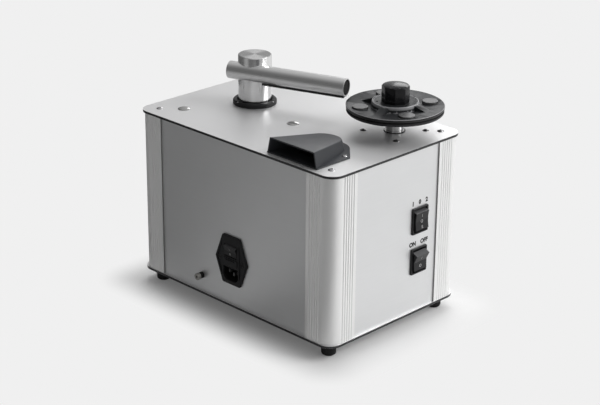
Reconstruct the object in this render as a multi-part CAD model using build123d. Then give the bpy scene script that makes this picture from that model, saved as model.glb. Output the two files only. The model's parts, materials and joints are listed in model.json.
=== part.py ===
from build123d import *
import math
import os

# Record cleaning machine: a ribbed aluminium case that carries a motor-driven platter with a
# lift-off label clamp, a swinging and sinking suction arm, and the vacuum system inside.
# Frame: millimetres, +Z up, front at -Y (the face with the two rocker switches), left at -X
# (the face with the mains inlet). The origin is on the floor under the middle of the case.

# the outline is centred on the origin by moving everything by this much
shift_x = 2.05
shift_y = 2.69

# ---------------------------------------------------------------- case
plate_width = 205.0          # X, top and bottom plates
plate_depth = 304.0          # Y
plate_thick = 2.8
plate_radius = 15.5
plate_overhang = 1.0         # how far the plates stand out past the posts
post_height = 188.0
post_flank = 37.5            # length of each flank of a corner post
post_radius = 17.5
post_wall = 2.2
groove_first = 18.2          # first groove, from the post's outer face
groove_pitch = 3.5
groove_count = 5
groove_width = 1.3
groove_depth = 0.6
channel_depth = 8.0          # how far a panel can slide into a post
panel_thick = 2.0
panel_recess = 1.5           # outer face of a panel, behind the post's face
panel_slack = 0.15           # across the channel
panel_end_gap = 0.8          # between a panel's edge and the bottom of its channel
channel_lip = 1.8
channel_web = 2.0
boss_radius = 5.5
boss_web = 2.4
corner_inset_x = 16.5        # screws and feet at the four corners, from the posts' outer faces
corner_inset_y = 17.5
foot_height = 15.0
foot_radius = 8.7
foot_body_radius = 8.1

case_width = plate_width - 2 * plate_overhang
case_depth = plate_depth - 2 * plate_overhang
floor_z = foot_height + plate_thick          # upper face of the bottom plate
ceiling_z = floor_z + post_height            # lower face of the top plate
deck_z = ceiling_z + plate_thick             # upper face of the top plate
panel_x = case_width / 2 - panel_recess      # outer faces of the side panels
panel_y = case_depth / 2 - panel_recess      # outer faces of the front and rear panels
corner_x = case_width / 2 - corner_inset_x
corner_y = case_depth / 2 - corner_inset_y

# ---------------------------------------------------------------- screws
thread_gap = 0.05            # radial, screw in its threaded or tight hole
screw_gap = 0.3              # radial, screw in a clearance hole
plate_screw_radius = 2.0
plate_screw_head = 3.8
plate_screw_head_high = 1.7
plate_screw_length = 14.0
motor_screw_radius = 1.75
motor_screw_head = 3.7
motor_screw_pitch = 48.0
motor_screw_length = 13.0
tank_screw_radius = 2.5
tank_screw_head = 7.1
tank_screw_head_high = 2.1
tank_screw_length = 14.0

# ---------------------------------------------------------------- turntable
spindle_x = plate_width / 2 - 51.5
spindle_y = 55.0 - plate_depth / 2
shaft_radius = 9.2
running_gap = 0.05           # radial, between a shaft and its bearing
bearing_radius = 11.75
bearing_neck = 10.9
bearing_proud = 0.8
bearing_drop = 4.0           # how far the bearing reaches below the top plate
platter_low = 22.0           # heights above the deck
platter_top = 25.5
platter_radius = 53.0
platter_boss_radius = 14.0
platter_rim = 9.0
mat_thick = 1.0
spigot_radius = 5.0
pin_radius = 3.6
pin_length = 18.0
clamp_seat = 27.0            # the clamp rests on the platter's boss here
clamp_top = 30.0             # rim of the clamp disc
clamp_radius = 53.5
clamp_web = 0.95             # at the bottom of the bowl
clamp_edge = 0.5             # bevel round the rim
clamp_rim_thick = 1.3        # above the rubber edge
hub_top = 34.2
hub_radius = 25.5
hub_foot_radius = 26.6
hub_moat = 2.0               # level ring round the hub's foot
hub_dish = 0.7
spoke_count = 4
spoke_width = 10.0
spoke_end = 38.8             # where a spoke's top meets the bowl
spoke_phase = 15.0           # degrees, first spoke from +X
seal_drop = 0.7              # the clamp's rubber edge reaches this far below its seat
seal_width = 4.5
magnet_radius = 8.75
magnet_circle = 39.6
magnet_seat = 1.1            # floor of a magnet's seat, above the clamp's underside
magnet_high = 2.9
magnet_gap = 0.15
knob_radius = 15.3           # across corners / 2
knob_height = 19.2
knob_sides = 8
knob_phase = 39.5            # degrees
knob_crown = 1.9
knob_shoulder = 2.88         # end of the flats, below the top

# ---------------------------------------------------------------- suction arm
arm_reach = 118.5            # outer end, from the column axis
arm_end_clear = 54.3         # along Y, from the arm's reach to the spindle: clears the clamp
column_x = spindle_x - 44.0
column_y = spindle_y + arm_reach + arm_end_clear
column_radius = 18.8
column_foot = 5.8            # heights above the deck
column_top = 57.1
pipe_radius = 12.0
pipe_wall = 1.5
pipe_top = 24.0
arm_travel = 4.0
arm_azimuth = -70.65         # degrees, direction in which the arm points at rest
arm_offset = 12.3            # arm axis from the column axis, sideways
arm_height = 38.9            # arm axis above the deck
arm_radius = 10.0
arm_wall = 1.2
arm_tail = 25.0              # inner end, behind the column axis
slot_width = 2.4
slot_start = 30.0
slot_end = arm_reach - 5.5
strip_start = 17.6
strip_end = arm_reach - 1.5
strip_width = 3.4
strip_drop = 1.2
plug_length = 6.0
outer_plug_length = 4.0
plug_recess = 1.0
flange_radius = 24.85
flange_height = 5.0
flange_floor = 1.0
flange_bore = 20.2
flange_spigot = 16.0
flange_screw_circle = 22.5
flange_screw_count = 3
flange_screw_phase = 49.0    # degrees
flange_screw_radius = 1.2
collar_high = 2.0
spring_high = 10.0
spring_radius = 14.2
spring_wire = 0.7
spring_turns = 3

# ---------------------------------------------------------------- vent hood
hood_axis_y = spindle_y + 10.0
hood_front_x = 6.5 - plate_width / 2
hood_half_front = 36.2       # at the flange
hood_half_front_top = 32.3   # at full height
hood_centre_x = spindle_x - 99.3             # centre of the rounded back
hood_back_radius = 22.2
hood_back_radius_top = 16.8
hood_high = 18.0             # above the deck at the mouth
hood_high_back = 11.3        # above the deck at the back
hood_wall = 1.6
hood_flange = 1.5
hood_edge = 1.6              # rounding of the roof's edges
hood_flange_half = 36.6
hood_flange_corner_x = hood_centre_x + 1.3
hood_flange_mid_x = hood_centre_x + 19.8
hood_flange_mid_half = 18.6
hood_flange_back_x = hood_centre_x + 27.8
hood_screw_x = hood_centre_x - 0.7
hood_screw_half = 30.5
hood_screw_radius = 1.5
duct_x = hood_centre_x - 11.7
duct_size_x = 34.0
duct_size_y = 30.0
duct_wall = 2.0

# ---------------------------------------------------------------- switches
switch_x = case_width / 2 - 65.25
switch_upper_z = ceiling_z - 81.8
switch_lower_z = ceiling_z - 129.0
bezel_width = 25.4
bezel_height = 30.6
bezel_proud = 2.0
bezel_radius = 1.6
body_width = 23.4
body_height = 28.2
body_depth = 24.0
cutout_gap = 0.2
pocket_width = 20.5
pocket_height = 27.0
pocket_depth = 8.0
rocker_gap = 0.3             # each side of a rocker
rocker_half = 11.6           # half the length behind the bezel
upper_crest_half = 10.0      # outer edges of the ends: half their distance apart
upper_crest_out = 5.1        # and how far out they stand from the pivot
lower_crest_half = 9.4
lower_crest_out = 6.2
rocker_mid_out = 3.6
rocker_in = 2.6
pivot_behind = 2.0           # pivot, behind the bezel's face
pivot_radius = 1.2
pivot_length = 1.3
rocker_tilt = 11.0           # degrees each way

# ---------------------------------------------------------------- mains inlet
inlet_z = 70.3
inlet_width = 49.5
inlet_height = 57.2
inlet_edge = 27.0            # length of the flat upper and lower edges
inlet_proud = 3.0
inlet_border = 2.2
inlet_body_width = 27.0
inlet_body_height = 54.0
inlet_body_depth = 30.0
inlet_screw_half = 18.5
inlet_screw_radius = 1.5
socket_width = 23.6
socket_height = 16.0
socket_depth = 17.0
socket_chamfer = 4.5
socket_drop = 16.3           # socket centre, below the inlet's centre
pin_blade_width = 4.0
pin_blade_thick = 2.0
pin_blade_length = 12.0
pin_spread = 7.0
pin_earth_drop = 2.6
drawer_width = 21.0
drawer_height = 8.0
drawer_depth = 18.0
drawer_rise = -1.8           # drawer centre, from the inlet's centre
drawer_gap = 0.3
drawer_travel = 16.0
fuse_radius = 2.5
fuse_length = 14.0
main_rocker_rise = 11.2      # rocker centre, above the inlet's centre
main_rocker_half = 6.1
main_crest_half = 5.2
main_crest_out = 3.4
main_mid_out = 2.6
main_rocker_in = 2.4
main_rocker_width = 18.6
main_pocket_height = 14.4
main_tilt = 10.0

# ---------------------------------------------------------------- drain
drain_z = 36.5
drain_reach = 8.6            # the nozzle's end, outside the panel
drain_radius = 4.0           # the nozzle's head
drain_head = 3.8
drain_neck = 2.8
drain_bore = 1.3
drain_seal_radius = 3.7

# ---------------------------------------------------------------- inside
gearbox_size = 58.0
gearbox_high = 24.0
can_radius = 21.0
can_high = 46.0
output_radius = 4.0
output_length = 18.0
turbine_x = spindle_x - 43.0
turbine_y = spindle_y + 25.0
shroud_radius = 48.0
shroud_wall = 2.5
shroud_high = ceiling_z - 85.8
shroud_low = shroud_high - 26.0
intake_radius = 14.0
intake_wall = 2.0
intake_neck = 6.0
fan_radius = 41.0
fan_thick = 2.0
fan_blade_high = 11.0
fan_blades = 12
fan_shaft = 4.0
fan_shaft_drop = 28.0        # how far the rotor shaft reaches into the motor
fan_hub_radius = 9.0
motor_can_radius = 37.0
cradle_high = 10.0
cradle_radius = 42.0
cradle_bore = 28.0
cradle_seat = 4.0            # how deep the motor sits in the cradle
cradle_screw_radius = 1.5
cradle_screw_length = 7.0
tank_half_x = panel_x - panel_thick - 8.0
tank_front_y = turbine_y + shroud_radius + 44.0
tank_back_y = panel_y - panel_thick - 23.5
tank_high = post_height - 38.0
tank_wall = 2.5
tank_radius = 8.0
tank_screws_at = ((36.5 - plate_width / 2, tank_back_y - 10.0), (column_x - 19.8, tank_front_y - 25.5))
lid_thick = 4.0
lid_pillar_radius = 7.0
lid_arm_half = 8.0           # half the width of the arm that carries the front pillar
lid_arm_lap = 10.0
lid_socket_wall = 4.0
lid_socket_high = 14.0
pipe_dip = 12.0              # how far the guide pipe reaches into the tank
duct_bend = 22.0
duct_lap = 5.0               # elbow over the tank's outlet and the intake neck
outlet_drop = 20.0           # suction outlet, below the tank's rim
drain_y = tank_front_y + 29.5
inlet_y = tank_front_y - 20.5
supply_x = panel_x - 40.0
supply_y = tank_front_y - 23.0
supply_size_x = 60.0
supply_size_y = 36.0
supply_base = 3.0
supply_high = 34.0
supply_can_radius = 6.0
supply_can_high = 18.0
terminal_x = 50.0 - panel_x
terminal_y = inlet_y - 4.5
terminal_half = 18.0
terminal_high = 12.0
terminal_pitch = 9.0

low_mid = (Align.CENTER, Align.CENTER, Align.MIN)


def rod(x, y, z, radius, height):
    """Upright cylinder standing on z."""
    return Pos(x, y, z) * Cylinder(radius, height, align=low_mid)


def rod_x(x, y, z, radius, length):
    """Cylinder along X that starts at x."""
    return Pos(x, y, z) * Rot(0, 90, 0) * Cylinder(radius, length, align=low_mid)


def block(x0, x1, y0, y1, z0, z1):
    """Box between two corners."""
    return Pos(x0, y0, z0) * Box(x1 - x0, y1 - y0, z1 - z0, align=(Align.MIN,) * 3)


def around(count, radius, phase=0.0):
    """Points evenly spaced on a circle."""
    for step in range(count):
        angle = math.radians(phase + 360.0 * step / count)
        yield radius * math.cos(angle), radius * math.sin(angle)


def corners():
    """The four corner screw places."""
    for sx in (-1, 1):
        for sy in (-1, 1):
            yield sx * corner_x, sy * corner_y


def spun(points):
    """Solid of revolution about Z from (radius, height) points."""
    outline = Polyline([(r, 0, z) for r, z in points], close=True)
    return revolve(make_face(outline), Axis.Z, 360)


def button_screw(x, y, z, shank, head, head_high, length, socket=True):
    """Screw with a domed head that sits on z, with or without a hexagon socket."""
    edge = head_high * 0.2
    ball = (head ** 2 + (head_high - edge) ** 2) / (2 * (head_high - edge))
    half = math.asin(head / ball) / 2
    side = make_face([
        Line((0, 0, 0), (head, 0, 0)),
        Line((head, 0, 0), (head, 0, edge)),
        ThreePointArc((head, 0, edge), (ball * math.sin(half), 0, head_high - ball + ball * math.cos(half)),
                      (0, 0, head_high)),
        Line((0, 0, head_high), (0, 0, 0)),
    ])
    screw = Pos(x, y, z) * revolve(side, Axis.Z, 360) + rod(x, y, z - length, shank, length)
    if not socket:
        return screw
    return screw - Pos(x, y, z + head_high * 0.3) * extrude(RegularPolygon(head * 0.36, 6), head_high)


# ================================================================ case
def patch(swap, *points):
    """Flat face in the post's section; swap mirrors it onto the other flank."""
    return make_face(Polyline([(y, x) if swap else (x, y) for x, y in points], close=True))


def strip(swap, x0, x1, y0, y1):
    return patch(swap, (x0, y0), (x1, y0), (x1, y1), (x0, y1))


def post_profile():
    """Section of a corner post; its outer faces meet at the origin and it lies towards -X and -Y."""
    high = (Align.MAX, Align.MAX)
    outer = Rectangle(post_flank, post_flank, align=high)
    outer = fillet(outer.vertices().sort_by(lambda v: v.X + v.Y)[-1], post_radius)
    shell = post_flank - post_wall
    inner = Pos(-post_wall, -post_wall) * Rectangle(shell, shell, align=high)
    inner = fillet(inner.vertices().sort_by(lambda v: v.X + v.Y)[-1], post_radius - post_wall)
    section = outer - inner
    slot_back = panel_recess + panel_thick + panel_slack
    channel_end = -post_flank + channel_depth
    for swap in (False, True):
        section += strip(swap, -post_flank, channel_end + channel_web, -slot_back - channel_lip, 0)
        section += patch(swap, (-corner_in(swap), -corner_in(not swap) - boss_web / 2),
                         (-corner_in(swap), -corner_in(not swap) + boss_web / 2),
                         (-post_wall / 2, -corner_in(not swap) + boss_web / 2),
                         (-post_wall / 2, -corner_in(not swap) - boss_web / 2))
    for swap in (False, True):
        section -= strip(swap, -post_flank - 1, channel_end, -slot_back, -panel_recess)
        for step in range(groove_count):
            at = -(groove_first + step * groove_pitch)
            section -= patch(swap, (at - groove_width / 2, 0.01), (at + groove_width / 2, 0.01),
                             (at, -groove_depth))
    boss = Pos(-corner_in(False), -corner_in(True))
    section += boss * Circle(boss_radius)
    return section - boss * Circle(plate_screw_radius + thread_gap)


def corner_in(along_y):
    """Distance of the corner screw from the post's outer face, along X or Y."""
    return case_depth / 2 - corner_y if along_y else case_width / 2 - corner_x


def corner_posts():
    section = extrude(post_profile(), post_height, dir=(0, 0, 1))
    rear_right = Pos(case_width / 2, case_depth / 2, floor_z) * section
    rear_left = mirror(rear_right, about=Plane.YZ)
    return {
        "post_rear_right": rear_right,
        "post_rear_left": rear_left,
        "post_front_right": mirror(rear_right, about=Plane.XZ),
        "post_front_left": mirror(rear_left, about=Plane.XZ),
    }


def panel_half(case_size):
    """Half the width of a panel that ends just short of the channels' bottoms."""
    return case_size / 2 - post_flank + channel_depth - panel_end_gap


def panels():
    half_x = panel_half(case_width)
    half_y = panel_half(case_depth)
    front = block(-half_x, half_x, -panel_y, -panel_y + panel_thick, floor_z, ceiling_z)
    for z in (switch_upper_z, switch_lower_z):
        front -= Pos(switch_x, -panel_y, z) * Box(body_width + 2 * cutout_gap, 4 * panel_thick,
                                                 body_height + 2 * cutout_gap)
    left = block(-panel_x, -panel_x + panel_thick, -half_y, half_y, floor_z, ceiling_z)
    left -= Pos(-panel_x, inlet_y, inlet_z) * Box(4 * panel_thick, inlet_body_width + 2 * cutout_gap,
                                                 inlet_body_height + 2 * cutout_gap)
    left -= rod_x(-panel_x - 1, drain_y, drain_z, drain_neck + thread_gap, panel_thick + 2)
    for side in (-1, 1):
        left -= rod_x(-panel_x - 1, inlet_y + side * inlet_screw_half, inlet_z,
                      inlet_screw_radius + thread_gap, panel_thick + 2)
    return {
        "front_panel": front,
        "rear_panel": block(-half_x, half_x, panel_y - panel_thick, panel_y, floor_z, ceiling_z),
        "left_panel": left,
        "right_panel": block(panel_x - panel_thick, panel_x, -half_y, half_y, floor_z, ceiling_z),
    }


def blank_plate(z):
    outline = RectangleRounded(plate_width, plate_depth, plate_radius)
    plate = Pos(0, 0, z) * extrude(outline, plate_thick)
    for x, y in corners():
        plate -= rod(x, y, z - 1, plate_screw_radius + screw_gap, plate_thick + 2)
    return plate


def bottom_plate():
    plate = blank_plate(foot_height)
    for x, y in cradle_screws_at():
        plate -= rod(x, y, foot_height - 1, cradle_screw_radius + thread_gap, plate_thick + 2)
    return plate


def cradle_screws_at():
    circle = (cradle_radius + cradle_bore) / 2
    return [(turbine_x + x, turbine_y + y) for x, y in around(3, circle, 90)]


def hood_screws_at():
    return [(hood_screw_x, hood_axis_y + side * hood_screw_half) for side in (-1, 1)]


def flange_screws_at():
    points = around(flange_screw_count, flange_screw_circle, flange_screw_phase)
    return [(column_x + x, column_y + y) for x, y in points]


def motor_screws_at():
    half = motor_screw_pitch / 2
    return [(spindle_x + sx * half, spindle_y + sy * half) for sx in (-1, 1) for sy in (-1, 1)]


def top_plate():
    plate = blank_plate(ceiling_z)
    low = ceiling_z - 1
    deep = plate_thick + 2
    plate -= rod(spindle_x, spindle_y, low, bearing_neck, deep)
    plate -= rod(column_x, column_y, low, flange_spigot, deep)
    plate -= block(duct_x - duct_size_x / 2 + duct_wall, duct_x + duct_size_x / 2 - duct_wall,
                   hood_axis_y - duct_size_y / 2 + duct_wall, hood_axis_y + duct_size_y / 2 - duct_wall,
                   low, low + deep)
    for x, y in motor_screws_at():
        plate -= rod(x, y, low, motor_screw_radius + thread_gap, deep)
    for x, y in tank_screws_at:
        plate -= rod(x, y, low, tank_screw_radius + thread_gap, deep)
    for x, y in hood_screws_at():
        plate -= rod(x, y, low, hood_screw_radius + thread_gap, deep)
    for x, y in flange_screws_at():
        plate -= rod(x, y, low, flange_screw_radius + thread_gap, deep)
    return plate


def rubber_feet():
    profile = [(plate_screw_head + 0.6, 0), (foot_body_radius - 2.2, 0), (foot_body_radius - 0.5, 1.2),
               (foot_body_radius, 3.0), (foot_body_radius + 0.1, foot_height - 2.4),
               (foot_radius, foot_height - 1.6), (foot_radius, foot_height),
               (plate_screw_radius + thread_gap, foot_height),
               (plate_screw_radius + thread_gap, foot_height - 4.0),
               (plate_screw_head + 0.6, foot_height - 4.0)]
    return [Pos(x, y, 0) * spun(profile) for x, y in corners()]


def plate_screws():
    """Four button screws in the top plate and four up through the feet."""
    screws = [button_screw(x, y, deck_z, plate_screw_radius, plate_screw_head,
                           plate_screw_head_high, plate_screw_length) for x, y in corners()]
    for x, y in corners():
        screw = button_screw(0, 0, 0, plate_screw_radius, plate_screw_head,
                             plate_screw_head_high, plate_screw_length)
        screws.append(Pos(x, y, foot_height - 4.0) * Rot(180, 0, 0) * screw)
    return screws


# ================================================================ turntable
def top_bearing():
    low = ceiling_z - deck_z - bearing_drop
    bore = shaft_radius + running_gap
    ring = spun([(bore, low), (bearing_neck, low), (bearing_neck, 0), (bearing_radius, 0),
                 (bearing_radius, bearing_proud), (bore, bearing_proud)])
    return Pos(spindle_x, spindle_y, deck_z) * ring


def drive_shaft():
    """Shaft collar, platter spigot and centre pin, turned from one bar."""
    step = ceiling_z - deck_z - bearing_drop - 0.6
    foot = step - output_length
    nose = clamp_seat + pin_length
    shaft = spun([(0, foot), (output_radius, foot), (output_radius, step), (shaft_radius, step),
                  (shaft_radius, platter_low), (spigot_radius, platter_low),
                  (spigot_radius, clamp_seat), (pin_radius, clamp_seat),
                  (pin_radius, nose - 1.5), (pin_radius - 1.5, nose), (0, nose)])
    return Pos(spindle_x, spindle_y, deck_z) * shaft


def platter():
    mat_low = platter_top - mat_thick
    disc = spun([(spigot_radius, platter_low), (platter_radius - 1.0, platter_low),
                 (platter_radius, platter_low + 1.0), (platter_radius, mat_low),
                 (platter_radius - platter_rim, mat_low), (platter_radius - platter_rim - 1, mat_low - 0.8),
                 (platter_boss_radius + 2, mat_low - 0.8), (platter_boss_radius, clamp_seat),
                 (spigot_radius, clamp_seat)])
    return Pos(spindle_x, spindle_y, deck_z) * disc


def platter_mat():
    mat_low = platter_top - mat_thick
    ring = spun([(platter_radius - platter_rim, mat_low), (platter_radius, mat_low),
                 (platter_radius, platter_top - 0.3), (platter_radius - 0.3, platter_top),
                 (platter_radius - platter_rim, platter_top)])
    return Pos(spindle_x, spindle_y, deck_z) * ring


def bowl_z(radius):
    """Height of the clamp's bowl, above the deck, at a distance from its axis."""
    inner = hub_foot_radius + hub_moat
    outer = clamp_radius - clamp_edge
    low = clamp_seat + clamp_web
    return low + (clamp_top - low) * (radius - inner) / (outer - inner)


def clamp_spoke(angle):
    """Spoke that falls from the hub's top until it meets the rising bowl."""
    start = hub_radius - 4
    top = hub_top - hub_dish
    floor = clamp_seat + clamp_web / 2
    side = Polyline((start, 0, floor), (start, 0, top), (hub_radius, 0, top),
                    (spoke_end, 0, bowl_z(spoke_end) - 0.05), (spoke_end, 0, floor), close=True)
    spoke = extrude(make_face(side), spoke_width / 2, dir=(0, 1, 0), both=True)
    return Rot(0, 0, angle) * spoke


def clamp_disc():
    """Cast clamp: a shallow bowl with a hub, four spokes and four magnet seats."""
    web_top = clamp_seat + clamp_web
    rim_low = clamp_top - clamp_rim_thick
    bore = pin_radius + running_gap
    cast = spun([(bore, clamp_seat), (clamp_radius - seal_width, clamp_seat),
                 (clamp_radius - seal_width, rim_low), (clamp_radius, rim_low),
                 (clamp_radius, clamp_top - clamp_edge), (clamp_radius - clamp_edge, clamp_top),
                 (hub_foot_radius + hub_moat, web_top), (hub_foot_radius, web_top),
                 (hub_radius, hub_top - 0.5), (hub_radius - 0.6, hub_top), (hub_radius - 1.8, hub_top),
                 (hub_radius - 2.6, hub_top - hub_dish), (bore, hub_top - hub_dish)])
    for step in range(spoke_count):
        cast += clamp_spoke(spoke_phase + 360.0 * step / spoke_count)
    for x, y in around(3, hub_radius - 5.5, 20):
        cast -= rod(x, y, hub_top - 3.0, 1.3, 4.0)
    cast = Pos(spindle_x, spindle_y, deck_z) * cast
    for x, y in magnets_at():
        cast -= rod(x, y, deck_z + clamp_seat + magnet_seat, magnet_radius + magnet_gap, 10.0)
    return cast


def clamp_seal():
    """Rubber edge under the clamp's rim."""
    low = clamp_seat - seal_drop
    top = clamp_top - clamp_rim_thick
    outer = clamp_radius - 0.3
    inner = clamp_radius - seal_width
    ring = spun([(inner, low), (outer - 0.5, low), (outer, low + 0.5), (outer, top), (inner, top)])
    return Pos(spindle_x, spindle_y, deck_z) * ring


def magnets_at():
    phase = spoke_phase + 180.0 / spoke_count
    return [(spindle_x + x, spindle_y + y) for x, y in around(spoke_count, magnet_circle, phase)]


def clamp_magnets():
    low = deck_z + clamp_seat + magnet_seat
    magnets = []
    for x, y in magnets_at():
        magnet = rod(x, y, low, magnet_radius, magnet_high)
        magnets.append(chamfer(magnet.edges().filter_by(GeomType.CIRCLE).sort_by(Axis.Z)[-1], 0.4))
    return magnets


def clamp_knob():
    low = hub_top - hub_dish
    height = knob_height + hub_dish
    outline = fillet(RegularPolygon(knob_radius, knob_sides).vertices(), 1.4)
    knob = Rot(0, 0, knob_phase) * extrude(outline, height)
    dome = spun([(0, 0), (knob_radius, 0), (knob_radius, height - knob_shoulder),
                 (knob_radius * 0.93, height - knob_crown), (knob_radius * 0.7, height - knob_crown * 0.5),
                 (knob_radius * 0.4, height - knob_crown * 0.14), (0, height)])
    knob &= dome
    knob -= rod(0, 0, 0, pin_radius + running_gap, pin_length - (low - clamp_seat) + 1.5)
    return Pos(spindle_x, spindle_y, deck_z + low) * knob


# ================================================================ suction arm
def column_flange():
    """Stepped ring that centres the guide pipe and hides the column's foot."""
    low = ceiling_z - deck_z - 3.0
    ring = spun([(pipe_radius, low), (flange_spigot, low), (flange_spigot, 0), (flange_radius, 0),
                 (flange_radius, flange_height - 1.2), (flange_radius - 1.2, flange_height),
                 (flange_bore, flange_height), (flange_bore, flange_floor), (pipe_radius, flange_floor)])
    ring = Pos(column_x, column_y, deck_z) * ring
    for x, y in flange_screws_at():
        ring -= rod(x, y, deck_z - 1, flange_screw_radius + thread_gap, flange_height + 2)
        ring -= rod(x, y, deck_z + flange_height - 1.5, 2.15, 3)
    return ring


def flange_screws():
    return [button_screw(x, y, deck_z + flange_height - 1.5, flange_screw_radius, 2.0, 1.3, 8.0)
            for x, y in flange_screws_at()]


def guide_pipe():
    low = tank_rim_z() - pipe_dip - deck_z
    pipe = spun([(pipe_radius - pipe_wall, low), (pipe_radius, low), (pipe_radius, pipe_top),
                 (pipe_radius - pipe_wall, pipe_top)])
    return Pos(column_x, column_y, deck_z) * pipe


def lift_spring():
    """Compression spring between the flange's floor and the lift collar."""
    pitch = (spring_high - 2 * spring_wire) / spring_turns
    path = Helix(pitch, pitch * spring_turns, spring_radius)
    section = Plane(origin=path @ 0, z_dir=path % 0) * RegularPolygon(spring_wire, 6)
    wire = sweep(section, path=path, is_frenet=True)
    return Pos(column_x, column_y, deck_z + flange_floor + spring_wire) * wire


def lift_collar():
    low = flange_floor + spring_high
    ring = spun([(pipe_radius + running_gap, low), (spring_radius + 1.7, low),
                 (spring_radius + 1.7, low + collar_high), (pipe_radius + running_gap, low + collar_high)])
    return Pos(column_x, column_y, deck_z) * ring


def arm_frame():
    """Plane at the column axis whose X runs along the arm and whose Z is up."""
    turn = math.radians(arm_azimuth)
    return Plane(origin=(column_x, column_y, deck_z + arm_height),
                 x_dir=(math.cos(turn), math.sin(turn), 0), z_dir=(0, 0, 1))


def along_arm(start, end, radius):
    """Cylinder on the arm's axis, from start to end along it."""
    local = Pos(start, -arm_offset, 0) * Rot(0, 90, 0) * Cylinder(radius, end - start, align=low_mid)
    return arm_frame().location * local


def arm_column():
    """Turned column, bored for the pipe and the spring and cross-bored for the arm tube."""
    step = flange_floor + spring_high + collar_high
    post = spun([(spring_radius + 2.0, column_foot), (column_radius - 0.5, column_foot),
                 (column_radius, column_foot + 0.5), (column_radius, column_top - 0.8),
                 (column_radius - 0.8, column_top), (0, column_top), (0, arm_height + 3),
                 (pipe_radius + running_gap, arm_height - 4), (pipe_radius + running_gap, step),
                 (spring_radius + 2.0, step)])
    post = Pos(column_x, column_y, deck_z) * post
    return post - along_arm(-2 * column_radius, 2 * column_radius, arm_radius)


def arm_tube():
    tube = along_arm(-arm_tail, arm_reach, arm_radius) - along_arm(-arm_tail - 1, arm_reach + 1,
                                                                   arm_radius - arm_wall)
    slot = block(slot_start, slot_end, -slot_width / 2, slot_width / 2, -arm_radius - 2, 0)
    tube -= arm_frame().location * (Pos(0, -arm_offset, 0) * slot)
    port = Pos(column_x, column_y, deck_z + arm_height - arm_radius) * Cylinder(
        pipe_radius - 2, arm_radius, align=low_mid)
    return tube - port


def arm_plugs():
    """Dark end plugs, set a little inside the tube's ends."""
    bore = arm_radius - arm_wall
    outer = along_arm(arm_reach - plug_recess - outer_plug_length, arm_reach - plug_recess, bore)
    inner = along_arm(-arm_tail + plug_recess, -arm_tail + plug_recess + plug_length, bore)
    return [outer, inner]


def arm_strips():
    """Soft strips either side of the suction slot."""
    strips = []
    for side in (-1, 1):
        centre = side * (slot_width / 2 + strip_width / 2 + 0.2)
        strip = block(strip_start, strip_end, centre - strip_width / 2, centre + strip_width / 2,
                      -arm_radius - strip_drop, -arm_radius * 0.7)
        strip = arm_frame().location * (Pos(0, -arm_offset, 0) * strip)
        strips.append(strip - along_arm(-arm_tail, arm_reach, arm_radius))
    return strips


# ================================================================ vent hood
def fan_outline(half_front, radius, front_x):
    """Mouth, two straight sides tangent to a round back; centred on the hood's axis."""
    reach = hood_centre_x - hood_front_x
    far = math.hypot(reach, half_front)
    open_angle = math.atan2(half_front, -reach) - math.acos(radius / far)
    tx = radius * math.cos(open_angle)
    ty = radius * math.sin(open_angle)
    widen = (half_front - ty) / (reach + tx)
    mouth = half_front + widen * (hood_front_x - front_x)
    left = Line((front_x - hood_centre_x, mouth), (tx, ty))
    back = ThreePointArc((tx, ty), (radius, 0), (tx, -ty))
    right = Line((tx, -ty), (front_x - hood_centre_x, -mouth))
    front = Line((front_x - hood_centre_x, -mouth), (front_x - hood_centre_x, mouth))
    return make_face([left, back, right, front])


def fan_shape(inset, low, high, front_x):
    """Loft between the fan outlines at the deck and at full height."""
    lower = fan_outline(hood_half_front - inset, hood_back_radius - inset, front_x)
    upper = fan_outline(hood_half_front_top - inset, hood_back_radius_top - inset, front_x)
    place = Pos(hood_centre_x, hood_axis_y, deck_z)
    return place * loft([Pos(0, 0, low) * lower, Pos(0, 0, high) * upper])


def under_roof(drop):
    """Everything below the sloping roof plane lowered by drop."""
    front = deck_z + hood_high - drop
    fall = (hood_high - hood_high_back) / (hood_centre_x + hood_back_radius - hood_front_x)
    x0 = hood_front_x - 10
    x1 = hood_centre_x + 40
    side = Polyline((x0, 0, deck_z - 1), (x1, 0, deck_z - 1), (x1, 0, front - fall * (x1 - hood_front_x)),
                    (x0, 0, front + fall * 10), close=True)
    slab = extrude(make_face(side), 60, dir=(0, 1, 0), both=True)
    return Pos(0, hood_axis_y, 0) * slab


def exhaust_hood():
    """Moulded hood that turns the turbine's air out to the left."""
    shell = fan_shape(0, 0, hood_high, hood_front_x) & under_roof(0)
    roof = shell.faces().sort_by(Axis.Z)[-1]
    shell = fillet(roof.edges().filter_by(lambda edge: edge.center().X > hood_front_x + 1), hood_edge)
    hollow = fan_shape(hood_wall, 0, hood_high, hood_front_x - 4) & under_roof(hood_wall)
    half = hood_flange_half
    mid = hood_flange_mid_half
    front = hood_front_x
    outline = make_face([
        Line((front, -half), (hood_flange_corner_x, -half)),
        Line((hood_flange_corner_x, -half), (hood_flange_mid_x, -mid)),
        ThreePointArc((hood_flange_mid_x, -mid), (hood_flange_back_x, 0), (hood_flange_mid_x, mid)),
        Line((hood_flange_mid_x, mid), (hood_flange_corner_x, half)),
        Line((hood_flange_corner_x, half), (front, half)),
        Line((front, half), (front, -half)),
    ])
    flange = Pos(0, hood_axis_y, deck_z) * extrude(outline, hood_flange)
    hollow -= block(front - 10, 0, hood_axis_y - 50, hood_axis_y + 50, deck_z - 1, deck_z + hood_flange)
    hood = shell + flange - hollow
    hood -= block(duct_x - duct_size_x / 2 + duct_wall, duct_x + duct_size_x / 2 - duct_wall,
                  hood_axis_y - duct_size_y / 2 + duct_wall, hood_axis_y + duct_size_y / 2 - duct_wall,
                  deck_z - 1, deck_z + hood_flange + 0.5)
    for x, y in hood_screws_at():
        hood -= rod(x, y, deck_z - 1, hood_screw_radius + thread_gap, hood_flange + 2)
    return hood


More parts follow.
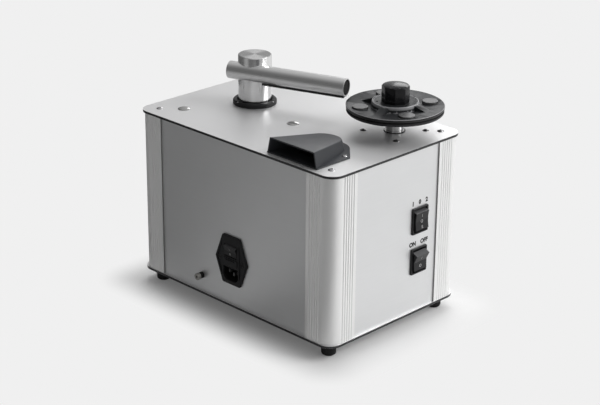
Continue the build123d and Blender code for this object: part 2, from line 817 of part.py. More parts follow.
def hood_screws():
    return [button_screw(x, y, deck_z + hood_flange, hood_screw_radius, 2.9, 1.7, 9.0)
            for x, y in hood_screws_at()]


# ================================================================ rocker switches
def switch_housing(z):
    """Bezel, body and pocket of a panel switch, with the two pivot holes."""
    face = -panel_y - bezel_proud
    bezel = extrude(RectangleRounded(bezel_width, bezel_height, bezel_radius), bezel_proud, taper=8)
    housing = Pos(0, -panel_y, 0) * Rot(90, 0, 0) * bezel
    housing += Pos(0, -panel_y + body_depth / 2, 0) * Box(body_width, body_depth, body_height)
    housing -= Pos(0, face + pocket_depth / 2, 0) * Box(pocket_width, pocket_depth, pocket_height)
    hole = pivot_radius + running_gap
    reach = pocket_width + 2 * (pivot_length - rocker_gap + 0.1)
    housing -= Pos(0, face + pivot_behind, 0) * Rot(0, 90, 0) * Cylinder(hole, reach)
    for x in (-5, 0, 5):
        housing += Pos(x, -panel_y + body_depth + 4, 0) * Box(0.8, 8, 5)
    return Pos(switch_x, 0, z) * housing


def rocker_body(half, crest_half, width, crest_out, mid_out, deep):
    """Rocker about its own X axis, its face towards -Y; shallow V face, sloping ends, rounded back."""
    side = make_face([
        Polyline((0, 0.6, -half), (0, -crest_out, -crest_half), (0, -mid_out, 0),
                 (0, -crest_out, crest_half), (0, 0.6, half)),
        ThreePointArc((0, 0.6, half), (0, deep, 0), (0, 0.6, -half)),
    ])
    body = extrude(side, width / 2, dir=(1, 0, 0), both=True)
    return body + Rot(0, 90, 0) * Cylinder(pivot_radius, width + 2 * pivot_length)


def rocker(z, tilt, crest_half, crest_out):
    body = rocker_body(rocker_half, crest_half, pocket_width - 2 * rocker_gap, crest_out,
                       rocker_mid_out, rocker_in)
    pivot = -panel_y - bezel_proud + pivot_behind
    return Pos(switch_x, pivot, z) * Rot(tilt, 0, 0) * body


# ================================================================ mains inlet
def inlet_body():
    """Six-sided inlet with a rocker pocket, a fuse drawer slot and the mains socket."""
    half_edge = inlet_edge / 2
    half_wide = inlet_width / 2
    half_high = inlet_height / 2
    points = [(-half_edge, half_high), (half_edge, half_high), (half_wide, 0),
              (half_edge, -half_high), (-half_edge, -half_high), (-half_wide, 0)]
    outline = fillet(make_face(Polyline(points, close=True)).vertices(), 2.0)
    face_plane = Plane(origin=(-panel_x, inlet_y, inlet_z), x_dir=(0, -1, 0), z_dir=(-1, 0, 0))
    flange = extrude(outline, inlet_proud, dir=(0, 0, 1))
    flange = chamfer(flange.edges().group_by(Axis.Z)[-1], 0.7)
    body = face_plane.location * flange
    sunk = offset(outline, -inlet_border - 0.8, kind=Kind.INTERSECTION)
    body -= face_plane.location * (Pos(0, 0, inlet_proud - 0.8) * extrude(sunk, 2, dir=(0, 0, 1)))
    body += face_plane.location * extrude(Rectangle(inlet_body_width - 0.2, inlet_body_height - 0.2),
                                          inlet_proud)
    body += face_plane.location * (Pos(0, 0, -inlet_body_depth) * extrude(
        Rectangle(inlet_body_width, inlet_body_height), inlet_body_depth))
    socket = chamfer(Rectangle(socket_width, socket_height).vertices().group_by(Axis.Y)[0],
                     socket_chamfer)
    cavity = extrude(Pos(0, -socket_drop) * socket, socket_depth, dir=(0, 0, 1))
    body -= face_plane.location * (Pos(0, 0, inlet_proud - socket_depth) * cavity)
    drawer_hole = Box(drawer_width + 2 * drawer_gap, drawer_height + 2 * drawer_gap, drawer_depth + 1,
                      align=(Align.CENTER, Align.CENTER, Align.MAX))
    body -= face_plane.location * (Pos(0, drawer_rise, inlet_proud) * drawer_hole)
    pocket = Box(main_rocker_width + 2 * rocker_gap, main_pocket_height, pocket_depth,
                 align=(Align.CENTER, Align.CENTER, Align.MAX))
    body -= face_plane.location * (Pos(0, main_rocker_rise, inlet_proud) * pocket)
    hole = Rot(0, 90, 0) * Cylinder(pivot_radius + running_gap,
                                    main_rocker_width + 2 * (pivot_length + 0.1))
    body -= face_plane.location * (Pos(0, main_rocker_rise, inlet_proud - pivot_behind) * hole)
    for side in (-1, 1):
        y = inlet_y + side * inlet_screw_half
        body -= rod_x(-panel_x - inlet_proud - 1, y, inlet_z, inlet_screw_radius + thread_gap,
                      inlet_proud + 2)
        body -= rod_x(-panel_x - inlet_proud - 1, y, inlet_z, 3.0, 2.2)
    return body


def inlet_blades():
    """Two flat line pins and the earth pin between and below them."""
    tail = -panel_x - inlet_proud + socket_depth
    blades = []
    for y, z in ((-pin_spread, 0), (pin_spread, 0), (0, -pin_earth_drop)):
        centre_z = inlet_z - socket_drop + 1.2 + z
        low = (tail - pin_blade_length, inlet_y + y - pin_blade_thick / 2, centre_z - pin_blade_width / 2)
        high = (tail, inlet_y + y + pin_blade_thick / 2, centre_z + pin_blade_width / 2)
        blades.append(block(low[0], high[0], low[1], high[1], low[2], high[2]))
    return blades


def inlet_screws():
    screws = []
    for side in (-1, 1):
        screw = button_screw(0, 0, 0, inlet_screw_radius, 2.7, 1.5, 8.0)
        seat = -panel_x - inlet_proud + 1.2
        screws.append(Pos(seat, inlet_y + side * inlet_screw_half, inlet_z) * Rot(0, -90, 0) * screw)
    return screws


def main_rocker():
    body = rocker_body(main_rocker_half, main_crest_half, main_rocker_width, main_crest_out,
                       main_mid_out, main_rocker_in)
    turned = Rot(0, 0, -90) * (Rot(main_tilt, 0, 0) * body)
    pivot_x = -panel_x - inlet_proud + pivot_behind
    return Pos(pivot_x, inlet_y, inlet_z + main_rocker_rise) * turned


def fuse_drawer():
    """Drawer with a cradle for the fuse and a finger lip."""
    front = -panel_x - inlet_proud - 0.8
    z = inlet_z + drawer_rise
    half = drawer_width / 2
    low = z - drawer_height / 2
    high = z + drawer_height / 2
    drawer = block(front, front + drawer_depth, inlet_y - half, inlet_y + half, low, high)
    drawer -= block(front + 4, front + drawer_depth - 2, inlet_y - fuse_length / 2 - 0.3,
                    inlet_y + fuse_length / 2 + 0.3, low + 1.4, high + 1)
    drawer -= block(front - 1, front + 1.0, inlet_y - half + 3, inlet_y + half - 3, high - 2.2, high - 0.8)
    return drawer


def fuse():
    x = -panel_x - inlet_proud - 0.8 + 4 + fuse_radius + 0.3
    z = inlet_z + drawer_rise - drawer_height / 2 + 1.4 + fuse_radius
    return Pos(x, inlet_y, z) * Rot(90, 0, 0) * Cylinder(fuse_radius, fuse_length)


# ================================================================ drain
def drain_nozzle():
    """Waste outlet: a bright bored head outside the panel on a neck that ends in the tank."""
    tail = -tank_half_x + tank_wall
    tip = -panel_x - drain_reach
    nozzle = rod_x(tip, drain_y, drain_z, drain_radius, drain_head)
    nozzle = chamfer(nozzle.edges().filter_by(GeomType.CIRCLE).sort_by(Axis.X)[0], 0.4)
    nozzle += rod_x(tip + drain_head, drain_y, drain_z, drain_neck, tail - tip - drain_head)
    return nozzle - rod_x(tip - 1, drain_y, drain_z, drain_bore, tail - tip + 2)


def drain_seal():
    """Rubber sleeve on the nozzle's neck, between its head and the panel."""
    length = drain_reach - drain_head
    sleeve = rod_x(-panel_x - length, drain_y, drain_z, drain_seal_radius, length)
    return sleeve - rod_x(-panel_x - length - 1, drain_y, drain_z, drain_neck + thread_gap, length + 2)


# ================================================================ inside
def gearbox():
    """Reduction gearbox hung from the top plate by four screws."""
    body = extrude(RectangleRounded(gearbox_size, gearbox_size, 5), -gearbox_high)
    body -= Pos(0, 0, -bearing_drop - 0.6) * Cylinder(bearing_radius, 10, align=low_mid)
    body -= Pos(0, 0, -gearbox_high - 1) * Cylinder(output_radius + running_gap, 40, align=low_mid)
    half = motor_screw_pitch / 2
    for sx in (-1, 1):
        for sy in (-1, 1):
            body -= Pos(sx * half, sy * half, -motor_screw_length) * Cylinder(
                motor_screw_radius + thread_gap, motor_screw_length + 1, align=low_mid)
    return Pos(spindle_x, spindle_y, ceiling_z) * body


def drive_motor():
    top = ceiling_z - gearbox_high
    can = rod(spindle_x, spindle_y, top - can_high, can_radius, can_high)
    can = chamfer(can.edges().filter_by(GeomType.CIRCLE).sort_by(Axis.Z)[0], 2)
    can += rod(spindle_x, spindle_y, top - can_high - 4, 6, 4)
    for side in (-1, 1):
        can += block(spindle_x - 0.4, spindle_x + 0.4, spindle_y + side * 12 - 2.5,
                     spindle_y + side * 12 + 2.5, top - can_high - 7, top - can_high)
    return can


def motor_screws():
    return [button_screw(x, y, deck_z, motor_screw_radius, motor_screw_head, 1.5, motor_screw_length)
            for x, y in motor_screws_at()]


def turbine_cradle():
    """Rubber-like ring stand on the bottom plate."""
    ring = rod(turbine_x, turbine_y, floor_z, cradle_radius, cradle_high)
    ring -= rod(turbine_x, turbine_y, floor_z - 1, cradle_bore, cradle_high + 2)
    ring -= rod(turbine_x, turbine_y, floor_z + cradle_high - cradle_seat, motor_can_radius, cradle_seat + 1)
    for x, y in cradle_screws_at():
        ring -= rod(x, y, floor_z - 1, cradle_screw_radius + thread_gap, cradle_screw_length - plate_thick + 1)
    return ring


def cradle_screws():
    screws = []
    for x, y in cradle_screws_at():
        screw = Rot(180, 0, 0) * button_screw(0, 0, 0, cradle_screw_radius, 2.9, 1.5, cradle_screw_length)
        screws.append(Pos(x, y, foot_height) * screw)
    return screws


def turbine_motor():
    """Motor can of the suction turbine, with cooling slots and a bore for the rotor shaft."""
    low = floor_z + cradle_high - cradle_seat
    can = rod(turbine_x, turbine_y, low, motor_can_radius, shroud_low - low)
    can -= rod(turbine_x, turbine_y, shroud_low - fan_shaft_drop - 2, fan_shaft + running_gap,
               fan_shaft_drop + 10)
    slot = Pos(0, 0, low + 22) * Box(8, 6, 26, align=low_mid)
    for x, y in around(10, motor_can_radius, 0):
        turn = math.degrees(math.atan2(y, x))
        can -= Pos(turbine_x, turbine_y, 0) * Rot(0, 0, turn) * Pos(motor_can_radius, 0, 0) * slot
    return can


def shroud_port_z():
    return shroud_low + shroud_wall + 2, shroud_high - shroud_wall - 2


def turbine_shroud():
    """Fan housing: drum with an intake neck on top and an outlet port on the left."""
    drum = spun([(fan_shaft + 1.5, shroud_low), (shroud_radius, shroud_low), (shroud_radius, shroud_high),
                 (intake_radius + intake_wall, shroud_high),
                 (intake_radius + intake_wall, shroud_high + intake_neck),
                 (intake_radius, shroud_high + intake_neck), (intake_radius, shroud_high - shroud_wall),
                 (shroud_radius - shroud_wall, shroud_high - shroud_wall),
                 (shroud_radius - shroud_wall, shroud_low + shroud_wall),
                 (fan_shaft + 1.5, shroud_low + shroud_wall)])
    drum = Pos(turbine_x, turbine_y, 0) * drum
    z0, z1 = shroud_port_z()
    half = duct_size_y / 2 - duct_wall
    mouth = duct_x + duct_size_x / 2
    port = block(mouth, turbine_x - shroud_radius + 12, hood_axis_y - half - 2, hood_axis_y + half + 2,
                 z0 - 2, z1 + 2)
    port -= rod(turbine_x, turbine_y, z0 - 3, shroud_radius - shroud_wall, z1 - z0 + 6)
    drum += port
    return drum - block(mouth - 1, turbine_x - shroud_radius + 14, hood_axis_y - half, hood_axis_y + half,
                        z0, z1)


def turbine_fan():
    """Impeller with backward-swept blades on its shaft."""
    low = shroud_low + shroud_wall + 3
    hub = rod(0, 0, low, fan_hub_radius, fan_blade_high)
    disc = rod(0, 0, low, fan_radius, fan_thick)
    shaft = rod(0, 0, shroud_low - fan_shaft_drop, fan_shaft, low - shroud_low + fan_shaft_drop + fan_blade_high)
    blade = Pos(fan_radius / 2 + 5, 0, low) * Box(fan_radius - 12, 1.2, fan_blade_high, align=low_mid)
    fan = hub + disc + shaft
    for step in range(fan_blades):
        fan += Rot(0, 0, 360.0 * step / fan_blades) * (Pos(0, 5, 0) * blade)
    return Pos(turbine_x, turbine_y, 0) * fan


def exhaust_duct():
    """Square duct from the shroud's port up to the hole under the hood."""
    z0, z1 = shroud_port_z()
    low = z0 - 2 - duct_wall
    x0 = duct_x - duct_size_x / 2
    x1 = duct_x + duct_size_x / 2
    y0 = hood_axis_y - duct_size_y / 2
    y1 = hood_axis_y + duct_size_y / 2
    duct = block(x0, x1, y0, y1, low, ceiling_z)
    duct -= block(x0 + duct_wall, x1 - duct_wall, y0 + duct_wall, y1 - duct_wall, low + duct_wall,
                  ceiling_z + 1)
    return duct - block(x1 - duct_wall - 1, x1 + 1, y0 + duct_wall, y1 - duct_wall, z0, z1)


def tank_rim_z():
    return floor_z + tank_high


def waste_tank():
    """Open waste tank; the lid closes it. The drain and the suction outlet are holes in its walls."""
    depth = tank_back_y - tank_front_y
    middle = (tank_back_y + tank_front_y) / 2
    outer = extrude(RectangleRounded(2 * tank_half_x, depth, tank_radius), tank_high)
    inner = extrude(RectangleRounded(2 * (tank_half_x - tank_wall), depth - 2 * tank_wall,
                                     tank_radius - tank_wall), tank_high)
    tank = Pos(0, middle, floor_z) * (outer - Pos(0, 0, tank_wall) * inner)
    tank -= rod_x(-tank_half_x - 1, drain_y, drain_z, drain_neck + thread_gap, tank_wall + 2)
    z = tank_rim_z() - outlet_drop
    tank += Pos(turbine_x, tank_front_y + tank_wall, z) * Rot(90, 0, 0) * Cylinder(
        intake_radius + intake_wall, tank_wall + intake_neck, align=low_mid)
    return tank - Pos(turbine_x, tank_front_y + 10, z) * Rot(90, 0, 0) * Cylinder(
        intake_radius, 20 + intake_neck, align=low_mid)


def tank_lid():
    """Lid with the pipe's socket and two pillars that the domed screws pull up to the top plate."""
    depth = tank_back_y - tank_front_y
    middle = (tank_back_y + tank_front_y) / 2
    rim = tank_rim_z()
    lid = Pos(0, middle, rim) * extrude(RectangleRounded(2 * tank_half_x, depth, tank_radius), lid_thick)
    reach_x, reach_y = tank_screws_at[1]
    lid += block(reach_x - lid_arm_half, reach_x + lid_arm_half, reach_y - lid_arm_half,
                 tank_front_y + lid_arm_lap, rim, rim + lid_thick)
    for x, y in tank_screws_at:
        lid += rod(x, y, rim, lid_pillar_radius, ceiling_z - rim)
    lid += rod(column_x, column_y, rim, pipe_radius + lid_socket_wall, lid_socket_high)
    lid -= rod(column_x, column_y, rim - 1, pipe_radius, lid_socket_high + 2)
    for x, y in tank_screws_at:
        lid -= rod(x, y, ceiling_z - tank_screw_length, tank_screw_radius + thread_gap, tank_screw_length + 1)
    return lid


def tank_screws():
    return [button_screw(x, y, deck_z, tank_screw_radius, tank_screw_head, tank_screw_head_high,
                         tank_screw_length, socket=False) for x, y in tank_screws_at]


def suction_duct():
    """Moulded elbow from the tank's outlet to the turbine's intake."""
    z = tank_rim_z() - outlet_drop
    start = tank_front_y - intake_neck + duct_lap
    over = 0.3
    inner = intake_radius + intake_wall
    low = shroud_high + 1.0
    path = FilletPolyline((turbine_x, start, z), (turbine_x, turbine_y, z), (turbine_x, turbine_y, low),
                          radius=duct_bend)
    ring = Plane(origin=(turbine_x, start, z), z_dir=(0, -1, 0)) * (
        Circle(inner + 2.0 + over) - Circle(inner))
    return sweep(ring, path=path)


def power_supply():
    """Low-voltage supply for the platter motor, on the bottom plate."""
    half_x = supply_size_x / 2
    half_y = supply_size_y / 2
    base = floor_z + supply_base
    box = block(supply_x - half_x, supply_x + half_x, supply_y - half_y, supply_y + half_y, floor_z, base)
    box += block(supply_x - half_x + 4, supply_x + 6, supply_y - half_y + 4, supply_y + half_y - 4,
                 base, floor_z + supply_high)
    for side in (-1, 1):
        box += rod(supply_x + half_x - 12, supply_y + side * (supply_can_radius + 2), base,
                   supply_can_radius, supply_can_high)
    return box


def terminal_block():
    """Mains terminals behind the inlet."""
    x = terminal_x
    y = terminal_y
    body = block(x - 6, x + 6, y - terminal_half, y + terminal_half, floor_z, floor_z + terminal_high)
    for step in range(4):
        at = y + terminal_pitch * (step - 1.5)
        body -= rod(x, at, floor_z + terminal_high / 2, 2.2, terminal_high)
        body -= rod_x(x - 7, at, floor_z + terminal_high / 3, 1.6, 14)
    return body


nodes = {}
nodes.update(corner_posts())
nodes.update(panels())
nodes["bottom_plate"] = bottom_plate()
nodes["top_plate"] = top_plate()
nodes["rubber_feet"] = rubber_feet()
nodes["plate_screws"] = plate_screws()
nodes["top_bearing"] = top_bearing()
nodes["motor_screws"] = motor_screws()
nodes["gearbox"] = gearbox()
nodes["drive_motor"] = drive_motor()
nodes["drive_shaft"] = drive_shaft()
nodes["platter"] = platter()
nodes["platter_mat"] = platter_mat()
nodes["clamp_disc"] = clamp_disc()
nodes["clamp_seal"] = clamp_seal()
nodes["clamp_magnets"] = clamp_magnets()
nodes["clamp_knob"] = clamp_knob()
nodes["column_flange"] = column_flange()
nodes["flange_screws"] = flange_screws()
nodes["guide_pipe"] = guide_pipe()
nodes["lift_spring"] = lift_spring()
nodes["lift_collar"] = lift_collar()
nodes["arm_column"] = arm_column()
nodes["arm_tube"] = arm_tube()
nodes["arm_plugs"] = arm_plugs()
nodes["arm_strips"] = arm_strips()
nodes["exhaust_hood"] = exhaust_hood()
nodes["hood_screws"] = hood_screws()
nodes["upper_switch_housing"] = switch_housing(switch_upper_z)
nodes["upper_rocker"] = rocker(switch_upper_z, 0, upper_crest_half, upper_crest_out)
nodes["lower_switch_housing"] = switch_housing(switch_lower_z)
nodes["lower_rocker"] = rocker(switch_lower_z, rocker_tilt, lower_crest_half, lower_crest_out)
nodes["inlet_body"] = inlet_body()
nodes["inlet_blades"] = inlet_blades()
nodes["inlet_screws"] = inlet_screws()
nodes["main_rocker"] = main_rocker()
nodes["fuse_drawer"] = fuse_drawer()
nodes["fuse"] = fuse()
nodes["drain_nozzle"] = drain_nozzle()
nodes["drain_seal"] = drain_seal()
nodes["turbine_cradle"] = turbine_cradle()
nodes["cradle_screws"] = cradle_screws()
nodes["turbine_motor"] = turbine_motor()
nodes["turbine_shroud"] = turbine_shroud()
nodes["turbine_fan"] = turbine_fan()
nodes["exhaust_duct"] = exhaust_duct()
nodes["waste_tank"] = waste_tank()
nodes["tank_lid"] = tank_lid()
nodes["tank_screws"] = tank_screws()
nodes["suction_duct"] = suction_duct()
nodes["power_supply"] = power_supply()
nodes["terminal_block"] = terminal_block()

os.makedirs("parts", exist_ok=True)
for name, shape in nodes.items():
    solids = shape if isinstance(shape, list) else [shape]
    bodies = [Pos(shift_x, shift_y, 0) * solid for item in solids for solid in item.solids()]
    export_step(bodies[0] if len(bodies) == 1 else Compound(children=bodies), f"parts/{name}.step")
    print(f"{name}: {len(bodies)} solid(s)")
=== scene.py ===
import json
import math
import bmesh
import bpy
from mathutils import Matrix, Vector


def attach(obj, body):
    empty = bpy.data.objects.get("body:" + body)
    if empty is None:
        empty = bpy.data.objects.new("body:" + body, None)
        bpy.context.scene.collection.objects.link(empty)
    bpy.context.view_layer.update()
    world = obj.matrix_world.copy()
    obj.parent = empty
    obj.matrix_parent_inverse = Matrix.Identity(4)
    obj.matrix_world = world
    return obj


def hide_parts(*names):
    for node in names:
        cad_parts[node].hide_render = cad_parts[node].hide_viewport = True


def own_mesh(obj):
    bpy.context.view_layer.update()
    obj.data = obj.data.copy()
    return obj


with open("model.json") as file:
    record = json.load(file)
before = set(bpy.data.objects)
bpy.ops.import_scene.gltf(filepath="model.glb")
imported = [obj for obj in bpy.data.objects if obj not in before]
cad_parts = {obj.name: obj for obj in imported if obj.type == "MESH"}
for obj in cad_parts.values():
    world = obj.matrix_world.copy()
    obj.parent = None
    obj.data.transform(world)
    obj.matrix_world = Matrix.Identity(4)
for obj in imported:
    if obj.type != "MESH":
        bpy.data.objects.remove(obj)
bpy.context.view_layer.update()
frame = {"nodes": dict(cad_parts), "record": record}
cadNodes = frame["nodes"]
print("frame loaded:", len(cadNodes), "nodes")

mm = 0.001
caseShift = Vector((2.05, 2.69, 0.0)) * mm  # the case's middle in the frame
caseHalf = (101.5, 149.5)  # from the case's middle to its side and front panels, in mm
deck = 208.6  # top face of the top plate, in mm
spindle = (51.0, -97.0)  # axis of the platter
column = (7.0, 75.8)  # axis of the arm's column
weld = 0.000002  # vertices closer than this are one, in metres
printLift = 0.03  # how far printed marks stand off their face, in mm


def place(x, y, z):
    return Vector((x, y, z)) * mm + caseShift


# shader maths

class Wire:
    # an output socket that works in ordinary sums
    def __init__(self, shade, socket):
        self.shade = shade
        self.socket = socket

    def maths(self, operation, first, second=None):
        values = {0: first}
        if second is not None:
            values[1] = second
        return self.shade.node("Math", {"operation": operation}, values)

    def __add__(self, other):
        return self.maths("ADD", self, other)

    def __radd__(self, other):
        return self.maths("ADD", other, self)

    def __sub__(self, other):
        return self.maths("SUBTRACT", self, other)

    def __rsub__(self, other):
        return self.maths("SUBTRACT", other, self)

    def __mul__(self, other):
        return self.maths("MULTIPLY", self, other)

    def __rmul__(self, other):
        return self.maths("MULTIPLY", other, self)

    def __truediv__(self, other):
        return self.maths("DIVIDE", self, other)

    def __pow__(self, other):
        return self.maths("POWER", self, other)

    def sine(self):
        return self.maths("SINE", self)

    def cosine(self):
        return self.maths("COSINE", self)

    def floor(self):
        return self.maths("FLOOR", self)

    def past(self, at):
        # 0 up to at, then rising to 1 one unit further
        return (self - at).most(0.0).least(1.0)

    def step(self, low, high):
        # 0 below low, 1 above high, smooth between
        return self.shade.node("MapRange", {"interpolation_type": "SMOOTHSTEP"},
                               {"Value": self, "From Min": low, "From Max": high})

    def least(self, other):
        return self.maths("MINIMUM", self, other)

    def most(self, other):
        return self.maths("MAXIMUM", self, other)


class Shade:
    # one material, world or Geometry Nodes tree
    def __init__(self, name, holder=None):
        self.holder = holder or bpy.data.materials.new(name)
        self.holder.use_nodes = True
        self.tree = self.holder.node_tree
        self.tree.nodes.clear()

    def node(self, kind, settings=None, values=None, out=0):
        own = kind.startswith(("Geometry", "Function"))
        made = self.tree.nodes.new(kind if own else "ShaderNode" + kind)
        for key, value in (settings or {}).items():
            setattr(made, key, value)
        for key, value in (values or {}).items():
            if isinstance(value, Wire):
                self.tree.links.new(value.socket, made.inputs[key])
            elif isinstance(value, tuple) and made.inputs[key].type == "RGBA":
                made.inputs[key].default_value = (*value, 1.0)
            else:
                made.inputs[key].default_value = value
        return Wire(self, made.outputs[out] if len(made.outputs) else None)

    def coords(self, scale=(1, 1, 1), move=(0, 0, 0)):
        # object coordinates, centred and stretched
        where = self.node("TexCoord", out="Object")
        return self.node("Mapping", {"vector_type": "POINT"},
                         {"Vector": where, "Scale": scale, "Location": move})

    def fromCase(self):
        # object coordinates from the middle of the case
        return self.axes(self.coords(move=(-caseShift.x, -caseShift.y, 0)))

    def fromAxis(self, centre):
        # object coordinates from an upright axis, and the distance from it
        x, y, z = self.axes(self.coords(move=tuple(-c for c in centre)))
        return x, y, z, (x * x + y * y) ** 0.5

    def upward(self):
        # 1 where the surface looks straight up, 0 on walls
        return self.axes(self.node("NewGeometry", out="Normal"))[2]

    def axes(self, vector):
        parts = self.node("SeparateXYZ", values={"Vector": vector})
        return [Wire(self, parts.socket.node.outputs[i]) for i in range(3)]

    def noise(self, vector, scale, detail=3.0, rough=0.55):
        return self.node("TexNoise", values={
            "Vector": vector, "Scale": scale, "Detail": detail, "Roughness": rough})

    def mix(self, factor, first, second):
        return self.node("Mix", {"data_type": "RGBA"}, {0: factor, 6: first, 7: second}, out=2)

    def bump(self, height, strength, distance):
        return self.node("Bump", values={"Height": height, "Strength": strength, "Distance": distance})

    def surface(self, **sockets):
        # closes the tree with a Principled shader; _ stands for a space
        values = {key.replace("_", " "): value for key, value in sockets.items()}
        shader = self.node("BsdfPrincipled", values=values)
        self.node("OutputMaterial", values={"Surface": shader})
        return self.holder


def rgb(red, green, blue):
    # screen colour 0..255 to the linear colour a shader takes
    return tuple((c / 255 / 12.92) if c <= 10 else ((c / 255 + 0.055) / 1.055) ** 2.4
                 for c in (red, green, blue))


# finishes

def tinted(colour, share):
    return tuple(min(1.0, c * share) for c in colour)


def anodised(name, colour, rough, grain, metal=0.85, shadedEnds=None):
    # bead-blasted, anodised aluminium with a faint drawn grain
    # shadedEnds: painted shade, near black where x or y is nearer the case's middle than this, in mm
    shade = Shade(name)
    fine = shade.noise(shade.coords(grain), 2600.0, 2.0)
    cloud = shade.noise(shade.coords(), 14.0, 3.0)
    sparkle = shade.noise(shade.coords(), 5200.0, 1.0)
    tone = 0.94 + 0.06 * fine + 0.05 * cloud
    body = shade.mix((tone - 0.93) * 5.0, tinted(colour, 0.86), tinted(colour, 1.07))
    if shadedEnds:
        x, y = shade.fromCase()[:2]
        nearX = 1.0 - ((x * x) ** 0.5).step((shadedEnds[0] - 0.08) * mm, (shadedEnds[0] + 0.08) * mm)
        nearY = 1.0 - ((y * y) ** 0.5).step((shadedEnds[1] - 0.08) * mm, (shadedEnds[1] + 0.08) * mm)
        # painted shade: the posts' end faces beside the panels go near black, standing in for the shadowed
        # gap there
        body = shade.mix(nearX.most(nearY), body, (0.012, 0.012, 0.012))
    return shade.surface(Base_Color=body, Metallic=metal,
                         Roughness=rough - 0.03 + 0.05 * cloud + 0.04 * fine,
                         Normal=shade.bump(sparkle * 0.6 + fine, 0.05, 0.00012))


def brushed(name, colour, rough, centre, highlightFan=None, shadedGap=None):
    # turned metal: fine rings round an upright axis
    # highlightFan: direction in degrees of a painted reflection across a level face, bright along it and
    # painted black to either side
    # shadedGap: painted shade, a near black ring between two radii, in mm
    shade = Shade(name)
    x, y, z, radius = shade.fromAxis(centre)
    lines = shade.node("CombineXYZ", values={"X": radius * 9000.0, "Y": z * 5200.0, "Z": 0.0})
    streak = shade.noise(lines, 1.0, 2.0)
    smear = shade.noise(shade.coords(), 60.0, 3.0)
    body = shade.mix(streak, tinted(colour, 0.9), colour)
    if highlightFan is not None:
        level = shade.upward().step(0.85, 0.97)
        turn = math.radians(highlightFan)
        along = (x * math.cos(turn) + y * math.sin(turn)) / radius.most(0.0001)
        spread = (along * along).step(0.15, 0.95) * 0.5 + 0.5
        # painted reflection: the level face goes black away from the bright line of the turned highlight
        body = shade.mix(level * (1.0 - spread), body, (0.0, 0.0, 0.0))
    if shadedGap is not None:
        outside = radius.step((shadedGap[0] - 0.1) * mm, shadedGap[0] * mm)
        inside = 1.0 - radius.step(shadedGap[1] * mm, (shadedGap[1] + 0.1) * mm)
        # painted shade: a near black ring where the gap round the shaft lies in shadow
        body = shade.mix(outside * inside, body, (0.006, 0.006, 0.006))
    return shade.surface(Base_Color=body, Metallic=1.0, Roughness=rough + 0.07 * streak + 0.05 * smear,
                         Normal=shade.bump(streak, 0.25, 0.00003))


def drawnTube(name, colour, rough, turn):
    # long faint scratches along a tube that lies at this turn
    shade = Shade(name)
    where = shade.node("TexCoord", out="Object")
    along = shade.node("Mapping", {"vector_type": "TEXTURE"},
                       {"Vector": where, "Rotation": (0, 0, turn), "Scale": (60.0, 1.0, 1.0)})
    streak = shade.noise(along, 1500.0, 3.0)
    smear = shade.noise(shade.coords(), 45.0, 3.0)
    body = shade.mix(streak, tinted(colour, 0.88), colour)
    return shade.surface(Base_Color=body, Metallic=1.0, Roughness=rough + 0.08 * streak + 0.06 * smear,
                         Normal=shade.bump(streak, 0.12, 0.00002))


def castMetal(name, colour, rough=0.46, depth=0.5, metal=0.75, shine=0.5, slopeHighlight=None, hubHighlight=None):
    # pitted casting; slopeHighlight: tone of a painted highlight on its chamfers and slopes
    # hubHighlight: centre, radius in mm and tone of a painted highlight on the hub's wall
    shade = Shade(name)
    where = shade.coords()
    pit = shade.noise(where, 900.0, 4.0, 0.6)
    cloud = shade.noise(where, 60.0, 3.0)
    body = shade.mix((cloud * 0.6 + pit * 0.4 - 0.3) * 2.0, tinted(colour, 0.72), colour)
    if slopeHighlight is not None:
        upward = shade.upward()
        slope = upward.step(0.2, 0.4) * (1.0 - upward.step(0.86, 0.95))
        # painted highlight: chamfers and slopes lighter, where they would catch the light
        body = shade.mix(slope, body, (slopeHighlight, slopeHighlight, slopeHighlight * 1.03))
    if hubHighlight is not None:
        centre, wall, tone = hubHighlight
        radius = shade.fromAxis(centre)[3]
        outside = radius.step((wall - 1.3) * mm, (wall - 0.9) * mm)
        inside = 1.0 - radius.step((wall + 0.3) * mm, (wall + 0.6) * mm)
        # painted highlight: a lighter ring on the hub's wall, where it would catch the light
        body = shade.mix(outside * inside, body, (tone, tone, tone * 1.03))
    return shade.surface(Base_Color=body, Metallic=metal, Roughness=rough + 0.12 * pit,
                         Specular_IOR_Level=shine, Normal=shade.bump(pit, depth, 0.00012))


def moulded(name, colour, rough, grain, depth, coat=0.0, shine=0.5, metal=0.0, shadedBeyond=None,
             toplitTone=None):
    # even skin with a fine grain and slight wear in the sheen: plastic, rubber, enamel or plating
    # shadedBeyond: painted shade, black deeper than this x, in mm; toplitTone: tone of painted light where
    # the surface looks up
    shade = Shade(name)
    where = shade.coords()
    skin = shade.noise(where, grain, 3.0, 0.6)
    wear = shade.noise(where, 70.0, 3.0)
    body = shade.mix(wear, tinted(colour, 0.8), tinted(colour, 1.2))
    if shadedBeyond is not None:
        x = shade.axes(shade.coords(move=(-caseShift.x, 0, 0)))[0]
        inside = x.step((shadedBeyond - 0.4) * mm, (shadedBeyond + 1.5) * mm)
        # painted shade: black inside the well, deeper than the given x
        body = shade.mix(inside, body, (0.0015, 0.0015, 0.0015))
        rough = rough + 0.5 * inside
    if toplitTone is not None:
        level = shade.upward().step(0.5, 0.95)
        # painted light: lighter where the surface looks up, as if lit from above
        body = shade.mix(level, body, (toplitTone, toplitTone, toplitTone * 1.04))
    return shade.surface(Base_Color=body, Roughness=rough + 0.10 * wear + 0.06 * skin, Coat_Weight=coat,
                         Specular_IOR_Level=shine, Metallic=metal, Normal=shade.bump(skin, depth, 0.0001))


